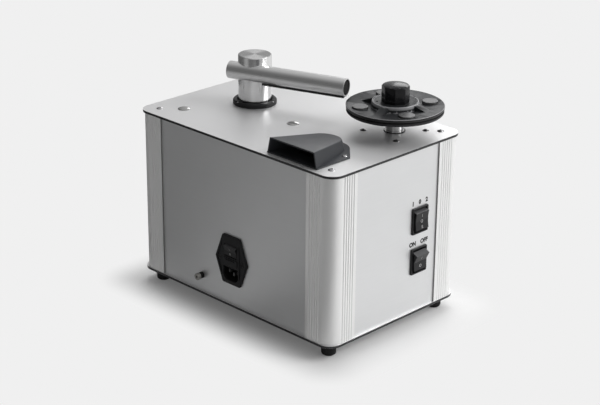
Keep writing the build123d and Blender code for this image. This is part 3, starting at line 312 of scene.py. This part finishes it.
def plush(name, colour):
    # dark in the depth of its tufts, paler at their tips
    shade = Shade(name)
    tuft = shade.noise(shade.coords(), 2400.0, 2.0)
    body = shade.mix(tuft, tinted(colour, 0.5), tinted(colour, 1.7))
    return shade.surface(Base_Color=body, Roughness=0.95, Sheen_Weight=0.35, Sheen_Roughness=0.5,
                         Normal=shade.bump(tuft, 0.6, 0.0003))


def clearGlass(name):
    shade = Shade(name)
    haze = shade.noise(shade.coords(), 300.0, 2.0)
    return shade.surface(Base_Color=(0.86, 0.9, 0.9), Roughness=0.03 + 0.05 * haze,
                         Transmission_Weight=0.9, IOR=1.5)


def ink(name, colour):
    shade = Shade(name)
    speckle = shade.noise(shade.coords(), 2200.0, 2.0)
    body = shade.mix(speckle, colour, tuple(c * 0.75 + 0.01 for c in colour))
    return shade.surface(Base_Color=body, Roughness=0.5 + 0.1 * speckle)


armTurn = math.radians(-70.65)  # the way the arm's tube lies at rest
# the post ends there are painted near black as shade in the gap beside the panels
shadedPostEnds = (64.03, 113.53)  # where the posts end beside the panels
# a near black ring is painted there as shade in the gap
shadedShaftGap = (10.9, 11.9)  # between the shaft and the ring round it
hubRadius = 25.5
# deeper than this face, the inlet is painted black as shade
inletFace = -101.3  # outer face of the inlet's well
columnAt = tuple(place(column[0], column[1], 0))
spindleAt = tuple(place(spindle[0], spindle[1], 0))

# by material slot
finishes = {
    # the posts carry painted shade on their end faces beside the panels
    "profile": anodised("post aluminium", (0.90, 0.90, 0.895), rough=0.34, grain=(1, 1, 0.015), metal=0.5,
                        shadedEnds=shadedPostEnds),
    "panel": anodised("panel aluminium", (0.81, 0.815, 0.82), rough=0.42, grain=(0.015, 0.015, 1)),
    "plate": anodised("plate aluminium", (0.66, 0.66, 0.665), rough=0.36, grain=(1, 0.015, 1), metal=0.46),
    # the column's cap carries a painted reflection, a bright fan across its top
    "brushed": brushed("turned column", (0.83, 0.83, 0.83), rough=0.16, centre=columnAt, highlightFan=45),
    "turned": brushed("turned shaft", (0.80, 0.80, 0.80), rough=0.12, centre=spindleAt),
    # the clamp casting carries painted highlights on its chamfers, slopes and hub wall
    "cast": castMetal("clamp casting", (0.026, 0.027, 0.029), rough=0.32, depth=0.25, metal=0.25,
                      shine=0.12, slopeHighlight=0.27, hubHighlight=(spindleAt, hubRadius, 0.26)),
    "platter_metal": castMetal("platter casting", (0.05, 0.05, 0.053), rough=0.4),
    "rubber": moulded("black rubber", (0.010, 0.010, 0.010), rough=0.66, grain=900.0, depth=0.3,
                      shine=0.25),
    "black_plastic": moulded("black plastic", (0.010, 0.010, 0.011), rough=0.40, grain=1500.0, depth=0.2,
                             shine=0.3),
    # the rockers carry painted light on their faces that look up
    "rocker_plastic": moulded("rocker plastic", (0.007, 0.007, 0.008), rough=0.30, grain=600.0, depth=0.05,
                              shine=0.35, toplitTone=0.075),
    "hood_plastic": moulded("hood plastic", (0.028, 0.030, 0.034), rough=0.32, grain=1100.0, depth=0.55,
                            shine=0.38),
    "screw_steel": moulded("screw steel", (0.50, 0.50, 0.505), rough=0.18, grain=1800.0, depth=0.15,
                           metal=1.0),
    "bright_screw": moulded("bright screw", (0.46, 0.46, 0.455), rough=0.12, grain=1800.0, depth=0.1,
                            metal=1.0),
    "nickel": moulded("magnet nickel", (0.15, 0.15, 0.152), rough=0.38, grain=1200.0, depth=0.15,
                      metal=0.85),
    "velvet": plush("arm velvet", (0.012, 0.012, 0.013)),
    "spring_steel": brushed("spring wire", (0.55, 0.55, 0.56), rough=0.25, centre=columnAt),
    "motor_metal": moulded("motor enamel", (0.05, 0.055, 0.06), rough=0.35, grain=700.0, depth=0.1),
    "gearbox_metal": castMetal("gearbox casting", (0.45, 0.45, 0.46)),
    "tank_plastic": moulded("tank plastic", (0.62, 0.62, 0.58), rough=0.4, grain=500.0, depth=0.1),
    "inner_plastic": moulded("duct plastic", (0.02, 0.02, 0.022), rough=0.5, grain=900.0, depth=0.2),
    "board": moulded("supply board", (0.02, 0.09, 0.045), rough=0.35, grain=500.0, depth=0.1),
    "fuse_glass": clearGlass("fuse glass"),
    "pvc": moulded("hose plastic", (0.12, 0.12, 0.125), rough=0.42, grain=500.0, depth=0.1),
}
# pieces whose finish differs from that of their slot
finishOf = {
    "arm_tube": drawnTube("drawn arm tube", (0.80, 0.80, 0.80), rough=0.22, turn=armTurn),
    "clamp_knob": moulded("knob plastic", (0.005, 0.005, 0.006), rough=0.15, grain=900.0, depth=0.015,
                          coat=0.1, shine=0.24),
    "clamp_seal": moulded("seal rubber", (0.010, 0.010, 0.010), rough=0.34, grain=900.0, depth=0.15),
    "drain_nozzle": moulded("drain nickel", (0.38, 0.37, 0.35), rough=0.24, grain=1200.0, depth=0.1,
                            metal=1.0),
    # the inlet carries painted shade inside its socket
    "inlet_body": moulded("inlet plastic", (0.008, 0.008, 0.009), rough=0.42, grain=1500.0, depth=0.2,
                          shine=0.3, shadedBeyond=inletFace),
    # the bearing housing carries a painted shadow ring round the shaft
    "top_bearing": brushed("bearing housing", (0.50, 0.50, 0.50), rough=0.30, centre=spindleAt,
                           shadedGap=shadedShaftGap),
    "motor_screws": moulded("motor screw", (0.42, 0.42, 0.42), rough=0.14, grain=1800.0, depth=0.1,
                            metal=1.0),
    "inlet_screws": moulded("blackened screw", (0.012, 0.012, 0.012), rough=0.35, grain=1800.0, depth=0.1,
                            shine=0.4),
}
plateEdge = anodised("plate edge", (0.06, 0.06, 0.062), rough=0.30, grain=(1, 1, 0.02))
whiteInk = ink("white print", (0.62, 0.62, 0.62))
blackInk = ink("black print", (0.012, 0.012, 0.012))
slotOf = {part["node"]: part["material_slot"] for part in frame["record"]["subparts"]}
bodyOf = {name: body for body, names in frame["record"]["behaviour"]["bodies"].items() for name in names}
for name, node in cadNodes.items():
    node.data.materials.clear()
    finishOf.setdefault(name, finishes[slotOf[name]])
    node.data.materials.append(finishOf[name])
print("finishes ready:", len(finishes))


# helpers for pieces

def newPiece(name, mesh, body, stands=()):
    # stands: the CAD nodes that the piece takes the place of
    piece = bpy.data.objects.new(name, mesh)
    bpy.context.scene.collection.objects.link(piece)
    if stands:
        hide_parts(*stands)
    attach(piece, body)
    return piece


def baked(holder):
    # plain mesh of an object with its modifiers applied
    graph = bpy.context.evaluated_depsgraph_get()
    mesh = bpy.data.meshes.new_from_object(holder.evaluated_get(graph))
    bpy.data.objects.remove(holder)
    return mesh


def smooth(mesh, angle):
    mesh.polygons.foreach_set("use_smooth", [True] * len(mesh.polygons))
    mesh.set_sharp_from_angle(angle=math.radians(angle))


def softEdge(name, width):
    # copy of a CAD node with its edges rounded where they turn by more than this angle
    angle = 28
    source = cadNodes[name]
    work = bmesh.new()
    work.from_mesh(source.data)
    bmesh.ops.remove_doubles(work, verts=work.verts, dist=weld)
    bmesh.ops.dissolve_limit(work, angle_limit=math.radians(0.6), verts=work.verts, edges=work.edges)
    mesh = bpy.data.meshes.new(name + "Soft")
    work.to_mesh(mesh)
    work.free()
    smooth(mesh, angle)
    holder = bpy.data.objects.new(name + "Holder", mesh)
    bpy.context.scene.collection.objects.link(holder)
    bevel = holder.modifiers.new("soft", "BEVEL")
    bevel.width = width * mm
    bevel.segments = 2
    bevel.limit_method = "ANGLE"
    bevel.angle_limit = math.radians(angle)
    bevel.use_clamp_overlap = True
    bevel.harden_normals = True
    mesh = baked(holder)
    mesh.materials.clear()
    mesh.materials.append(finishOf[name])
    if name in edged:
        mesh.materials.append(plateEdge)
        for face in mesh.polygons:
            if abs(face.normal.z) < 0.3:
                face.material_index = 1
    return newPiece(name + "Soft", mesh, bodyOf[name], (name,))


edged = ("top_plate", "bottom_plate")  # black on their cut edges
# width of the rounding in mm
softened = {
    "top_plate": 0.25, "bottom_plate": 0.25, "exhaust_hood": 0.7, "column_flange": 0.3,
    "clamp_knob": 0.45, "upper_switch_housing": 0.35, "lower_switch_housing": 0.35,
    "upper_rocker": 0.35, "lower_rocker": 0.35, "inlet_body": 0.35, "main_rocker": 0.3,
    "fuse_drawer": 0.3, "drain_nozzle": 0.2, "clamp_disc": 0.4, "clamp_magnets": 0.35,
}
for name, width in softened.items():
    softEdge(name, width)
for name in cadNodes:
    if name not in softened:
        smooth(cadNodes[name].data, 32)
print("edges softened:", len(softened))


# repeated forms

class Growth(Shade):
    # Geometry Nodes tree with named inputs; its material comes in as an input too
    def __init__(self, name, whole, real):
        self.tree = bpy.data.node_groups.new(name, "GeometryNodeTree")
        kinds = {"Geometry": "Geometry", "Material": "Material"}
        kinds.update({key: "Int" for key in whole})
        kinds.update({key: "Float" for key in real})
        self.keys = {}
        for key, kind in kinds.items():
            made = self.tree.interface.new_socket(key, in_out="INPUT", socket_type="NodeSocket" + kind)
            self.keys[key] = made.identifier
        self.tree.interface.new_socket("Result", in_out="OUTPUT", socket_type="NodeSocketGeometry")
        self.entry = self.tree.nodes.new("NodeGroupInput")

    def input(self, key):
        return Wire(self, self.entry.outputs[key])

    def through(self, row, stations):
        # straight runs from each station to the next as the row number rises
        total = stations[0]
        for index in range(len(stations) - 1):
            total = row.past(float(index)) * (stations[index + 1] - stations[index]) + total
        return total

    def scatter(self, points, form, turn):
        sown = self.node("GeometryNodeInstanceOnPoints",
                         values={"Points": points, "Instance": form, "Rotation": turn})
        real = self.node("GeometryNodeRealizeInstances", values={"Geometry": sown})
        done = self.node("GeometryNodeSetMaterial",
                         values={"Geometry": real, "Material": self.input("Material")})
        end = self.tree.nodes.new("NodeGroupOutput")
        self.tree.links.new(done.socket, end.inputs["Result"])


def grown(base, growth, material, sizes):
    # plain mesh of what a tree makes on a base mesh
    holder = bpy.data.objects.new("growing", base)
    bpy.context.scene.collection.objects.link(holder)
    modifier = holder.modifiers.new("growth", "NODES")
    modifier.node_group = growth.tree
    modifier[growth.keys["Material"]] = material
    for key, value in sizes.items():
        modifier[growth.keys[key]] = value
    mesh = baked(holder)
    work = bmesh.new()
    work.from_mesh(mesh)
    bmesh.ops.recalc_face_normals(work, faces=work.faces)
    work.to_mesh(mesh)
    work.free()
    return mesh


screwSides = 48
headRows = 12  # rows of the grid from the socket's floor to the foot of the head


def screwGrowth():
    # domed head with a chamfered hexagon socket on a threaded shank, turned from one grid
    sizes = ("Head Radius", "Head Height", "Head Edge", "Socket", "Socket Depth", "Lip", "Shank Radius",
             "Thread Depth", "Half Pitch")
    growth = Growth("screws", ("Rows",), sizes)
    head, high, edge, socket, depth, lip, shank, ridge, pitch = [growth.input(key) for key in sizes]
    rows = growth.input("Rows")
    grid = growth.node("GeometryNodeMeshGrid", values={
        "Size X": 1.0, "Size Y": 1.0, "Vertices X": screwSides + 1, "Vertices Y": rows})
    across, up = growth.axes(growth.node("GeometryNodeInputPosition"))[:2]
    turn = (across + 0.5) * math.tau
    row = (up + 0.5) * (rows - 1.0)
    sixth = turn / (math.pi / 3)
    hexagon = socket / ((sixth - sixth.floor() - 0.5) * (math.pi / 3)).cosine()
    lipped = hexagon * 0.4 + socket * 0.66 + lip
    dome = [lipped + (head * 0.985 - lipped) * part for part in (0.0, 0.25, 0.5, 0.75, 1.0)]
    radius = growth.through(row, [hexagon * 0.0, hexagon, hexagon] + dome + [head, head, shank])
    over = (row - (headRows - 2.0)).most(0.0).least(rows - float(headRows))  # rows past the head
    radius = radius - ridge * over.maths("PINGPONG", over, 1.0)
    radius = radius * (1.0 - (row - rows + 2.0).most(0.0))
    rise = high - edge
    ball = (head * head + rise * rise) / (2.0 * rise)
    cap = high - ball + (ball * ball - radius * radius).most(0.0) ** 0.5
    level = growth.through(row, [high - depth, high - depth, cap - lip, cap, cap, cap, cap, cap,
                                 edge * 0.8, edge * 0.0, edge * 0.0])
    level = level - over * pitch
    where = growth.node("CombineXYZ", values={
        "X": radius * turn.cosine(), "Y": radius * turn.sine(), "Z": level})
    turned = growth.node("GeometryNodeSetPosition", values={"Geometry": grid, "Position": where})
    whole = growth.node("GeometryNodeMergeByDistance", values={"Geometry": turned, "Distance": 0.000008})
    lean = growth.node("GeometryNodeInputNamedAttribute", {"data_type": "FLOAT_VECTOR"}, {"Name": "lean"})
    growth.scatter(growth.input("Geometry"), whole, lean)
    return growth


def looseParts(name):
    # the vertices' places in each separate solid of a CAD node, in the mesh's own order
    work = bmesh.new()
    work.from_mesh(cadNodes[name].data)
    bmesh.ops.remove_doubles(work, verts=work.verts, dist=weld)
    left = set(work.verts)
    found = []
    for first in work.verts:
        if first not in left:
            continue
        left.remove(first)
        group = []
        queue = [first]
        while queue:
            vert = queue.pop()
            group.append(vert.co.copy())
            beside = [edge.other_vert(vert) for edge in vert.link_edges]
            fresh = [near for near in beside if near in left]
            left.difference_update(fresh)
            queue.extend(fresh)
        found.append(group)
    work.free()
    return found


def screwSeat(points):
    # where a screw's head sits, which way it faces, and its radii and length
    low = Vector([min(p[i] for p in points) for i in range(3)])
    high = Vector([max(p[i] for p in points) for i in range(3)])
    axis = max(range(3), key=lambda i: high[i] - low[i])
    middle = (low + high) / 2
    line = Vector([float(i == axis) for i in range(3)])

    def reach(point):
        away = point - middle
        return (away - line * away.dot(line)).length

    far = max(reach(p) for p in points)
    rim = [p[axis] for p in points if reach(p) > 0.985 * far]
    facing = 1.0 if sum(rim) / len(rim) > middle[axis] else -1.0
    seat = min(rim, key=lambda value: value * facing)
    tail = low[axis] if facing > 0 else high[axis]
    shank = max(reach(p) for p in points if (p[axis] - seat) * facing < -0.0005)
    at = middle.copy()
    at[axis] = seat
    return at, line * facing, far, shank, abs(seat - tail)


# height of the head in mm, and the share of its radius that the socket takes
screwHeads = {
    "plate_screws": {"high": 1.7, "socket": 0.31},
    "motor_screws": {"high": 1.5, "socket": 0.31},
    "flange_screws": {"high": 1.3, "socket": 0.31},
    "hood_screws": {"high": 1.7, "socket": 0.31},
    "inlet_screws": {"high": 1.5, "socket": 0.31},
    "tank_screws": {"high": 2.1, "socket": 0.0},
    "cradle_screws": {"high": 1.5, "socket": 0.31},
}
screwRise = 0.25  # along the shank from crest to root, in mm
screwTree = screwGrowth()
for name, s in screwHeads.items():
    seats = [screwSeat(points) for points in looseParts(name)]
    base = bpy.data.meshes.new(name + "Seats")
    base.from_pydata([tuple(seat[0]) for seat in seats], [], [])
    lean = base.attributes.new("lean", "FLOAT_VECTOR", "POINT")
    for index, seat in enumerate(seats):
        lean.data[index].vector = tuple(seat[1].to_track_quat("Z", "Y").to_euler())
    head, shank, length = seats[0][2:]
    turns = max(4, round(length / (screwRise * mm)))
    mesh = grown(base, screwTree, finishOf[name], {
        "Rows": headRows + turns, "Head Radius": head, "Head Height": s["high"] * mm,
        "Head Edge": s["high"] * 0.2 * mm,
        "Socket": head * s["socket"], "Socket Depth": s["high"] * 0.62 * mm * (s["socket"] > 0),
        "Lip": head * 0.035 * (s["socket"] > 0), "Shank Radius": shank, "Thread Depth": shank * 0.12,
        "Half Pitch": length / turns})
    smooth(mesh, 36)
    newPiece(name + "Turned", mesh, bodyOf[name], (name,))
print("screws turned:", len(screwHeads))


def pileGrowth():
    # short fibres standing on a surface
    growth = Growth("pile", ("Seed",), ("Density", "Fibre Radius", "Fibre Length", "Untidy"))
    sown = growth.node("GeometryNodeDistributePointsOnFaces", {"distribute_method": "RANDOM"},
                       {"Mesh": growth.input("Geometry"), "Density": growth.input("Density"),
                        "Seed": growth.input("Seed")})
    outputs = sown.socket.node.outputs
    fibre = growth.node("GeometryNodeMeshCone", {"fill_type": "NONE"},
                        {"Vertices": 3, "Radius Bottom": growth.input("Fibre Radius"), "Radius Top": 0.0,
                         "Depth": growth.input("Fibre Length")})
    untidy = growth.input("Untidy")
    anyWay = 3.0  # turn of a fibre about itself, up to this many radians
    lean = growth.node("FunctionNodeRandomValue", {"data_type": "FLOAT_VECTOR"},
                       {0: growth.node("CombineXYZ", values={
                            "X": 0.0 - untidy, "Y": 0.0 - untidy, "Z": -anyWay}),
                        1: growth.node("CombineXYZ", values={"X": untidy, "Y": untidy, "Z": anyWay}),
                        "Seed": growth.input("Seed")})
    turn = growth.node("FunctionNodeRotateRotation", {"rotation_space": "LOCAL"},
                       {"Rotation": Wire(growth, outputs["Rotation"]), "Rotate By": lean})
    growth.scatter(Wire(growth, outputs["Points"]), fibre, turn)
    return growth


def coilGrowth():
    # round wire wound up a helix
    growth = Growth("coil", (), ("Turns", "Coil Radius", "Height", "Wire Radius"))
    path = growth.node("GeometryNodeCurveSpiral", values={
        "Resolution": 40, "Rotations": growth.input("Turns"), "Start Radius": growth.input("Coil Radius"),
        "End Radius": growth.input("Coil Radius"), "Height": growth.input("Height")})
    section = growth.node("GeometryNodeCurvePrimitiveCircle", values={
        "Resolution": 10, "Radius": growth.input("Wire Radius")})
    wire = growth.node("GeometryNodeCurveToMesh", values={
        "Curve": path, "Profile Curve": section, "Fill Caps": True})
    growth.scatter(growth.input("Geometry"), wire, (0.0, 0.0, 0.0))
    return growth


# sizes in mm; sink: how far the arm presses it down
spring = {"foot": (column[0], column[1], deck + 1.0), "high": 10.0, "radius": 14.2, "wire": 0.7,
          "turns": 3.0, "sink": 4.0}


def armSpring(s):
    base = bpy.data.meshes.new("springFoot")
    base.from_pydata([tuple(place(*s["foot"]) + Vector((0, 0, s["wire"] * mm)))], [], [])
    mesh = grown(base, coilGrowth(), finishOf["lift_spring"], {
        "Turns": s["turns"], "Coil Radius": s["radius"] * mm, "Wire Radius": s["wire"] * mm,
        "Height": (s["high"] - 2 * s["wire"]) * mm})
    smooth(mesh, 50)
    piece = newPiece("springWound", mesh, "case", ("lift_spring",))
    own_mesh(piece)


armSpring(spring)

# density: fibres on a square metre; radius and length in mm; untidy: lean in radians
pile = {"density": 6.0e6, "radius": 0.10, "length": 0.55, "untidy": 0.45, "seed": 4}


def stripPile(s):
    work = bmesh.new()
    work.from_mesh(cadNodes["arm_strips"].data)
    hidden = [face for face in work.faces if face.normal.z > -0.3]  # all but the faces that look down
    bmesh.ops.delete(work, geom=hidden, context="FACES")
    base = bpy.data.meshes.new("stripFaces")
    work.to_mesh(base)
    work.free()
    mesh = grown(base, pileGrowth(), finishOf["arm_strips"], {
        "Seed": s["seed"], "Density": s["density"], "Fibre Radius": s["radius"] * mm,
        "Fibre Length": s["length"] * mm, "Untidy": s["untidy"]})
    newPiece("stripPile", mesh, "arm")
    print("pile fibres:", len(mesh.polygons) // 3)


stripPile(pile)

# printed marks

upright = Matrix.Rotation(math.radians(90), 4, "X")  # lettering that faces -Y


def lettering(text, size, weight):
    # size and extra weight of the strokes in mm
    data = bpy.data.curves.new("lettering", "FONT")
    data.body = text
    data.size = size * mm
    data.offset = weight * mm
    data.align_x = "CENTER"
    data.align_y = "CENTER"
    holder = bpy.data.objects.new("lettering", data)
    bpy.context.scene.collection.objects.link(holder)
    return baked(holder)


def printed(name, words, size, weight, body, finish, onto):
    # words: text and its place across and up the face; onto takes a point of the face to the frame
    work = bmesh.new()
    for text, across, up in words:
        mesh = lettering(text, size, weight)
        mesh.transform(Matrix.Translation(Vector((across, 0.0, up)) * mm) @ upright)
        work.from_mesh(mesh)
        bpy.data.meshes.remove(mesh)
    whole = work.verts[:] + work.edges[:] + work.faces[:]
    bmesh.ops.bisect_plane(work, geom=whole, plane_co=(0, 0, 0), plane_no=(0, 0, 1))
    bmesh.ops.remove_doubles(work, verts=work.verts, dist=0.5 * weld)
    for vert in work.verts:
        vert.co = onto(vert.co)
    mesh = bpy.data.meshes.new(name)
    work.to_mesh(mesh)
    work.free()
    mesh.materials.append(finish)
    return newPiece(name, mesh, body)


def onPanel(x, z):
    return lambda point: place(x, -caseHalf[1], z) + Vector((point.x, -printLift * mm, point.z))


def onRocker(s):
    # a shallow V face that stands out by "crest" at its ends and by "middle" at its waist, in mm
    lean = Matrix.Rotation(math.radians(s["tilt"]), 3, "X")
    yaw = Matrix.Rotation(math.radians(s["yaw"]), 3, "Z")

    def onto(point):
        share = min(1.0, abs(point.z) / (s["half"] * mm))
        out = s["middle"] + (s["crest"] - s["middle"]) * share + printLift
        return place(*s["pivot"]) + yaw @ (lean @ Vector((point.x, -out * mm, point.z)))

    return onto


# words: text, then its place across and up, in mm
panelMarks = {
    "upperLegend": {"words": (("1", -11.0, 0), ("0", 0, 0), ("2", 11.0, 0)), "at": (36.35, 144.4),
                    "size": 6.7, "weight": 0.45},
    "lowerLegend": {"words": (("ON", -9.6, 0), ("OFF", 9.0, 0)), "at": (36.35, 97.1),
                    "size": 6.7, "weight": 0.45},
}
rockerMarks = {
    "upperRockerMarks": {"words": (("I", 0, 5.6), ("O", 0, -0.8), ("II", 0, -7.2)), "body": "upper_switch",
                         "pivot": (36.25, -caseHalf[1], 124.0), "yaw": 0, "tilt": 0, "size": 4.6,
                         "half": 10.0, "crest": 5.1, "middle": 3.6},
    "lowerRockerMarks": {"words": (("I", 0, 4.6), ("O", 0, -5.0)), "body": "lower_switch",
                         "pivot": (36.25, -caseHalf[1], 76.8), "yaw": 0, "tilt": 11.0, "size": 4.6,
                         "half": 9.4, "crest": 6.2, "middle": 3.6},
    "mainsRockerMarks": {"words": (("I", 0, 2.9), ("O", 0, -2.9)), "body": "mains_switch",
                         "pivot": (-101.0, -0.5, 81.5), "yaw": -90, "tilt": 10.0, "size": 2.9,
                         "half": 5.2, "crest": 3.4, "middle": 2.6},
}
for name, s in panelMarks.items():
    printed(name, s["words"], s["size"], s["weight"], "case", blackInk, onPanel(*s["at"]))
for name, s in rockerMarks.items():
    printed(name, s["words"], s["size"], 0.0, s["body"], whiteInk, onRocker(s))
print("marks printed:", len(panelMarks) + len(rockerMarks))

# camera

cameraSettings = {"azimuth": -45.1525, "elevation": 22.0274, "roll": 0.5157, "lens": 100.197,
                  "from": (-1232.2, -1225.7, 816.8), "aim": (0.0, 0.0, 113.6), "nudge": (3.19, -3.27)}


def makeCamera(s):
    a, e, roll = (math.radians(s[k]) for k in ("azimuth", "elevation", "roll"))
    back = Vector((math.sin(a) * math.cos(e), -math.cos(a) * math.cos(e), math.sin(e)))
    right = Vector((math.cos(a), math.sin(a), 0))
    up = back.cross(right)
    aim = Vector(s["aim"]) + right * s["nudge"][0] + up * s["nudge"][1]
    back = (Vector(s["from"]) - aim).normalized()
    right = Vector((0, 0, 1)).cross(back).normalized()
    up = back.cross(right)
    rolled = (right * math.cos(roll) + up * math.sin(roll), up * math.cos(roll) - right * math.sin(roll))
    camera = bpy.data.objects.new("camera", bpy.data.cameras.new("camera"))
    bpy.context.scene.collection.objects.link(camera)
    turn = Matrix((rolled[0], rolled[1], back)).transposed().to_4x4()
    camera.matrix_world = Matrix.Translation(place(*s["from"])) @ turn
    camera.data.lens = s["lens"]
    camera.data.sensor_width = 36.0
    camera.data.clip_start = 0.05
    bpy.context.scene.camera = camera


makeCamera(cameraSettings)

# studio

studio = {
    "backdrop": rgb(240, 240, 240), "dim": 0.06, "glow": 0.50,
    "mirrorLow": 0.16, "mirrorHigh": 0.74, "band": 0.25,
    "floor": 2.4, "least": 0.10, "paperReach": (-0.001, 0.055), "mirrorReach": (0.0, 0.07),
    "lamps": {
        "key": {"at": (1.35, -1.7, 1.6), "size": 1.4, "power": 44.0, "glossy": True},
        "over": {"at": (0.9, 0.4, 2.1), "size": 1.8, "power": 29.0, "glossy": False},
        "rim": {"at": (1.7, 0.9, 1.1), "size": 0.8, "power": 5.5, "glossy": True},
        "left": {"at": (-2.4, -1.2, 1.2), "size": 1.0, "power": 2.0, "glossy": True},
    },
}


def makeLamp(name, s):
    data = bpy.data.lights.new(name, "AREA")
    data.shape = "SQUARE"
    data.size = s["size"]
    data.energy = s["power"]
    lamp = bpy.data.objects.new(name, data)
    bpy.context.scene.collection.objects.link(lamp)
    at = Vector(s["at"])
    lamp.location = at
    lamp.visible_glossy = s["glossy"]
    lamp.rotation_mode = "QUATERNION"
    lamp.rotation_quaternion = (Vector((0, 0, 0.12)) - at).to_track_quat("-Z", "Y")


def brightSide(x, y, z):
    # -1 towards the dark left rear of the studio, 1 towards its bright right front
    return x * 0.80 - y * 0.60 + z * 0.50


def makeWorld(s):
    world = bpy.data.worlds.new("studio")
    bpy.context.scene.world = world
    shade = Shade("studio", world)
    rays = shade.node("LightPath")
    seen, shiny, through = [Wire(shade, rays.socket.node.outputs[k])
                            for k in ("Is Camera Ray", "Is Glossy Ray", "Is Transmission Ray")]
    side = brightSide(*shade.axes(shade.node("TexCoord", out="Generated")))
    mirror = s["mirrorLow"] + (s["mirrorHigh"] - s["mirrorLow"]) * side.step(-0.45, 0.5)
    level = s["dim"] + s["glow"] * side.step(-0.95, 0.85)
    level = shade.node("Mix", {"data_type": "FLOAT"}, {0: shiny.most(through), 2: level, 3: mirror})
    backdrop = shade.node("Background", values={"Color": s["backdrop"], "Strength": seen.most(level)})
    shade.node("OutputWorld", values={"Surface": backdrop})


def makeFloor(s):
    work = bmesh.new()
    bmesh.ops.create_circle(work, cap_ends=True, radius=s["floor"], segments=96)
    mesh = bpy.data.meshes.new("floor")
    work.to_mesh(mesh)
    work.free()
    floor = bpy.data.objects.new("floor", mesh)
    bpy.context.scene.collection.objects.link(floor)
    shade = Shade("floor paper")
    x, y = shade.fromCase()[:2]
    far = (x * x + y * y) ** 0.5
    acrossX = ((x * x) ** 0.5 - caseHalf[0] * mm).most(0.0)
    acrossY = ((y * y) ** 0.5 - caseHalf[1] * mm).most(0.0)
    away = (acrossX * acrossX + acrossY * acrossY) ** 0.5
    grain = shade.noise(shade.coords(), 500.0, 2.0)
    white = shade.mix(grain, (0.70, 0.70, 0.70), (0.74, 0.74, 0.74))
    paper = shade.node("BsdfDiffuse", values={"Color": white})
    rays = shade.node("LightPath")
    seen, shiny = [Wire(shade, rays.socket.node.outputs[k]) for k in ("Is Camera Ray", "Is Glossy Ray")]
    side = brightSide(x, y, 0.0) / far + 0.35 * (1.0 - far.step(0.2, 0.55))
    band = (y * 0.33 - x * 0.94) / far
    mirror = s["mirrorLow"] + (1.0 - s["mirrorLow"]) * side.step(0.0, 0.72)
    mirror = seen.most(mirror + s["band"] * band.step(0.93, 0.99))
    plain = shade.node("Emission", values={"Color": s["backdrop"], "Strength": mirror})
    plainSeen = s["least"] + (1.0 - s["least"]) * away.step(*s["paperReach"])
    cut = plainSeen * seen + away.step(*s["mirrorReach"]) * shiny
    surface = shade.node("MixShader", values={0: cut, 1: paper, 2: plain})
    shade.node("OutputMaterial", values={"Surface": surface})
    mesh.materials.append(shade.holder)


makeWorld(studio)
makeFloor(studio)
for name, lamp in studio["lamps"].items():
    makeLamp(name, lamp)
bpy.context.scene.view_settings.view_transform = "Standard"
print("studio ready")
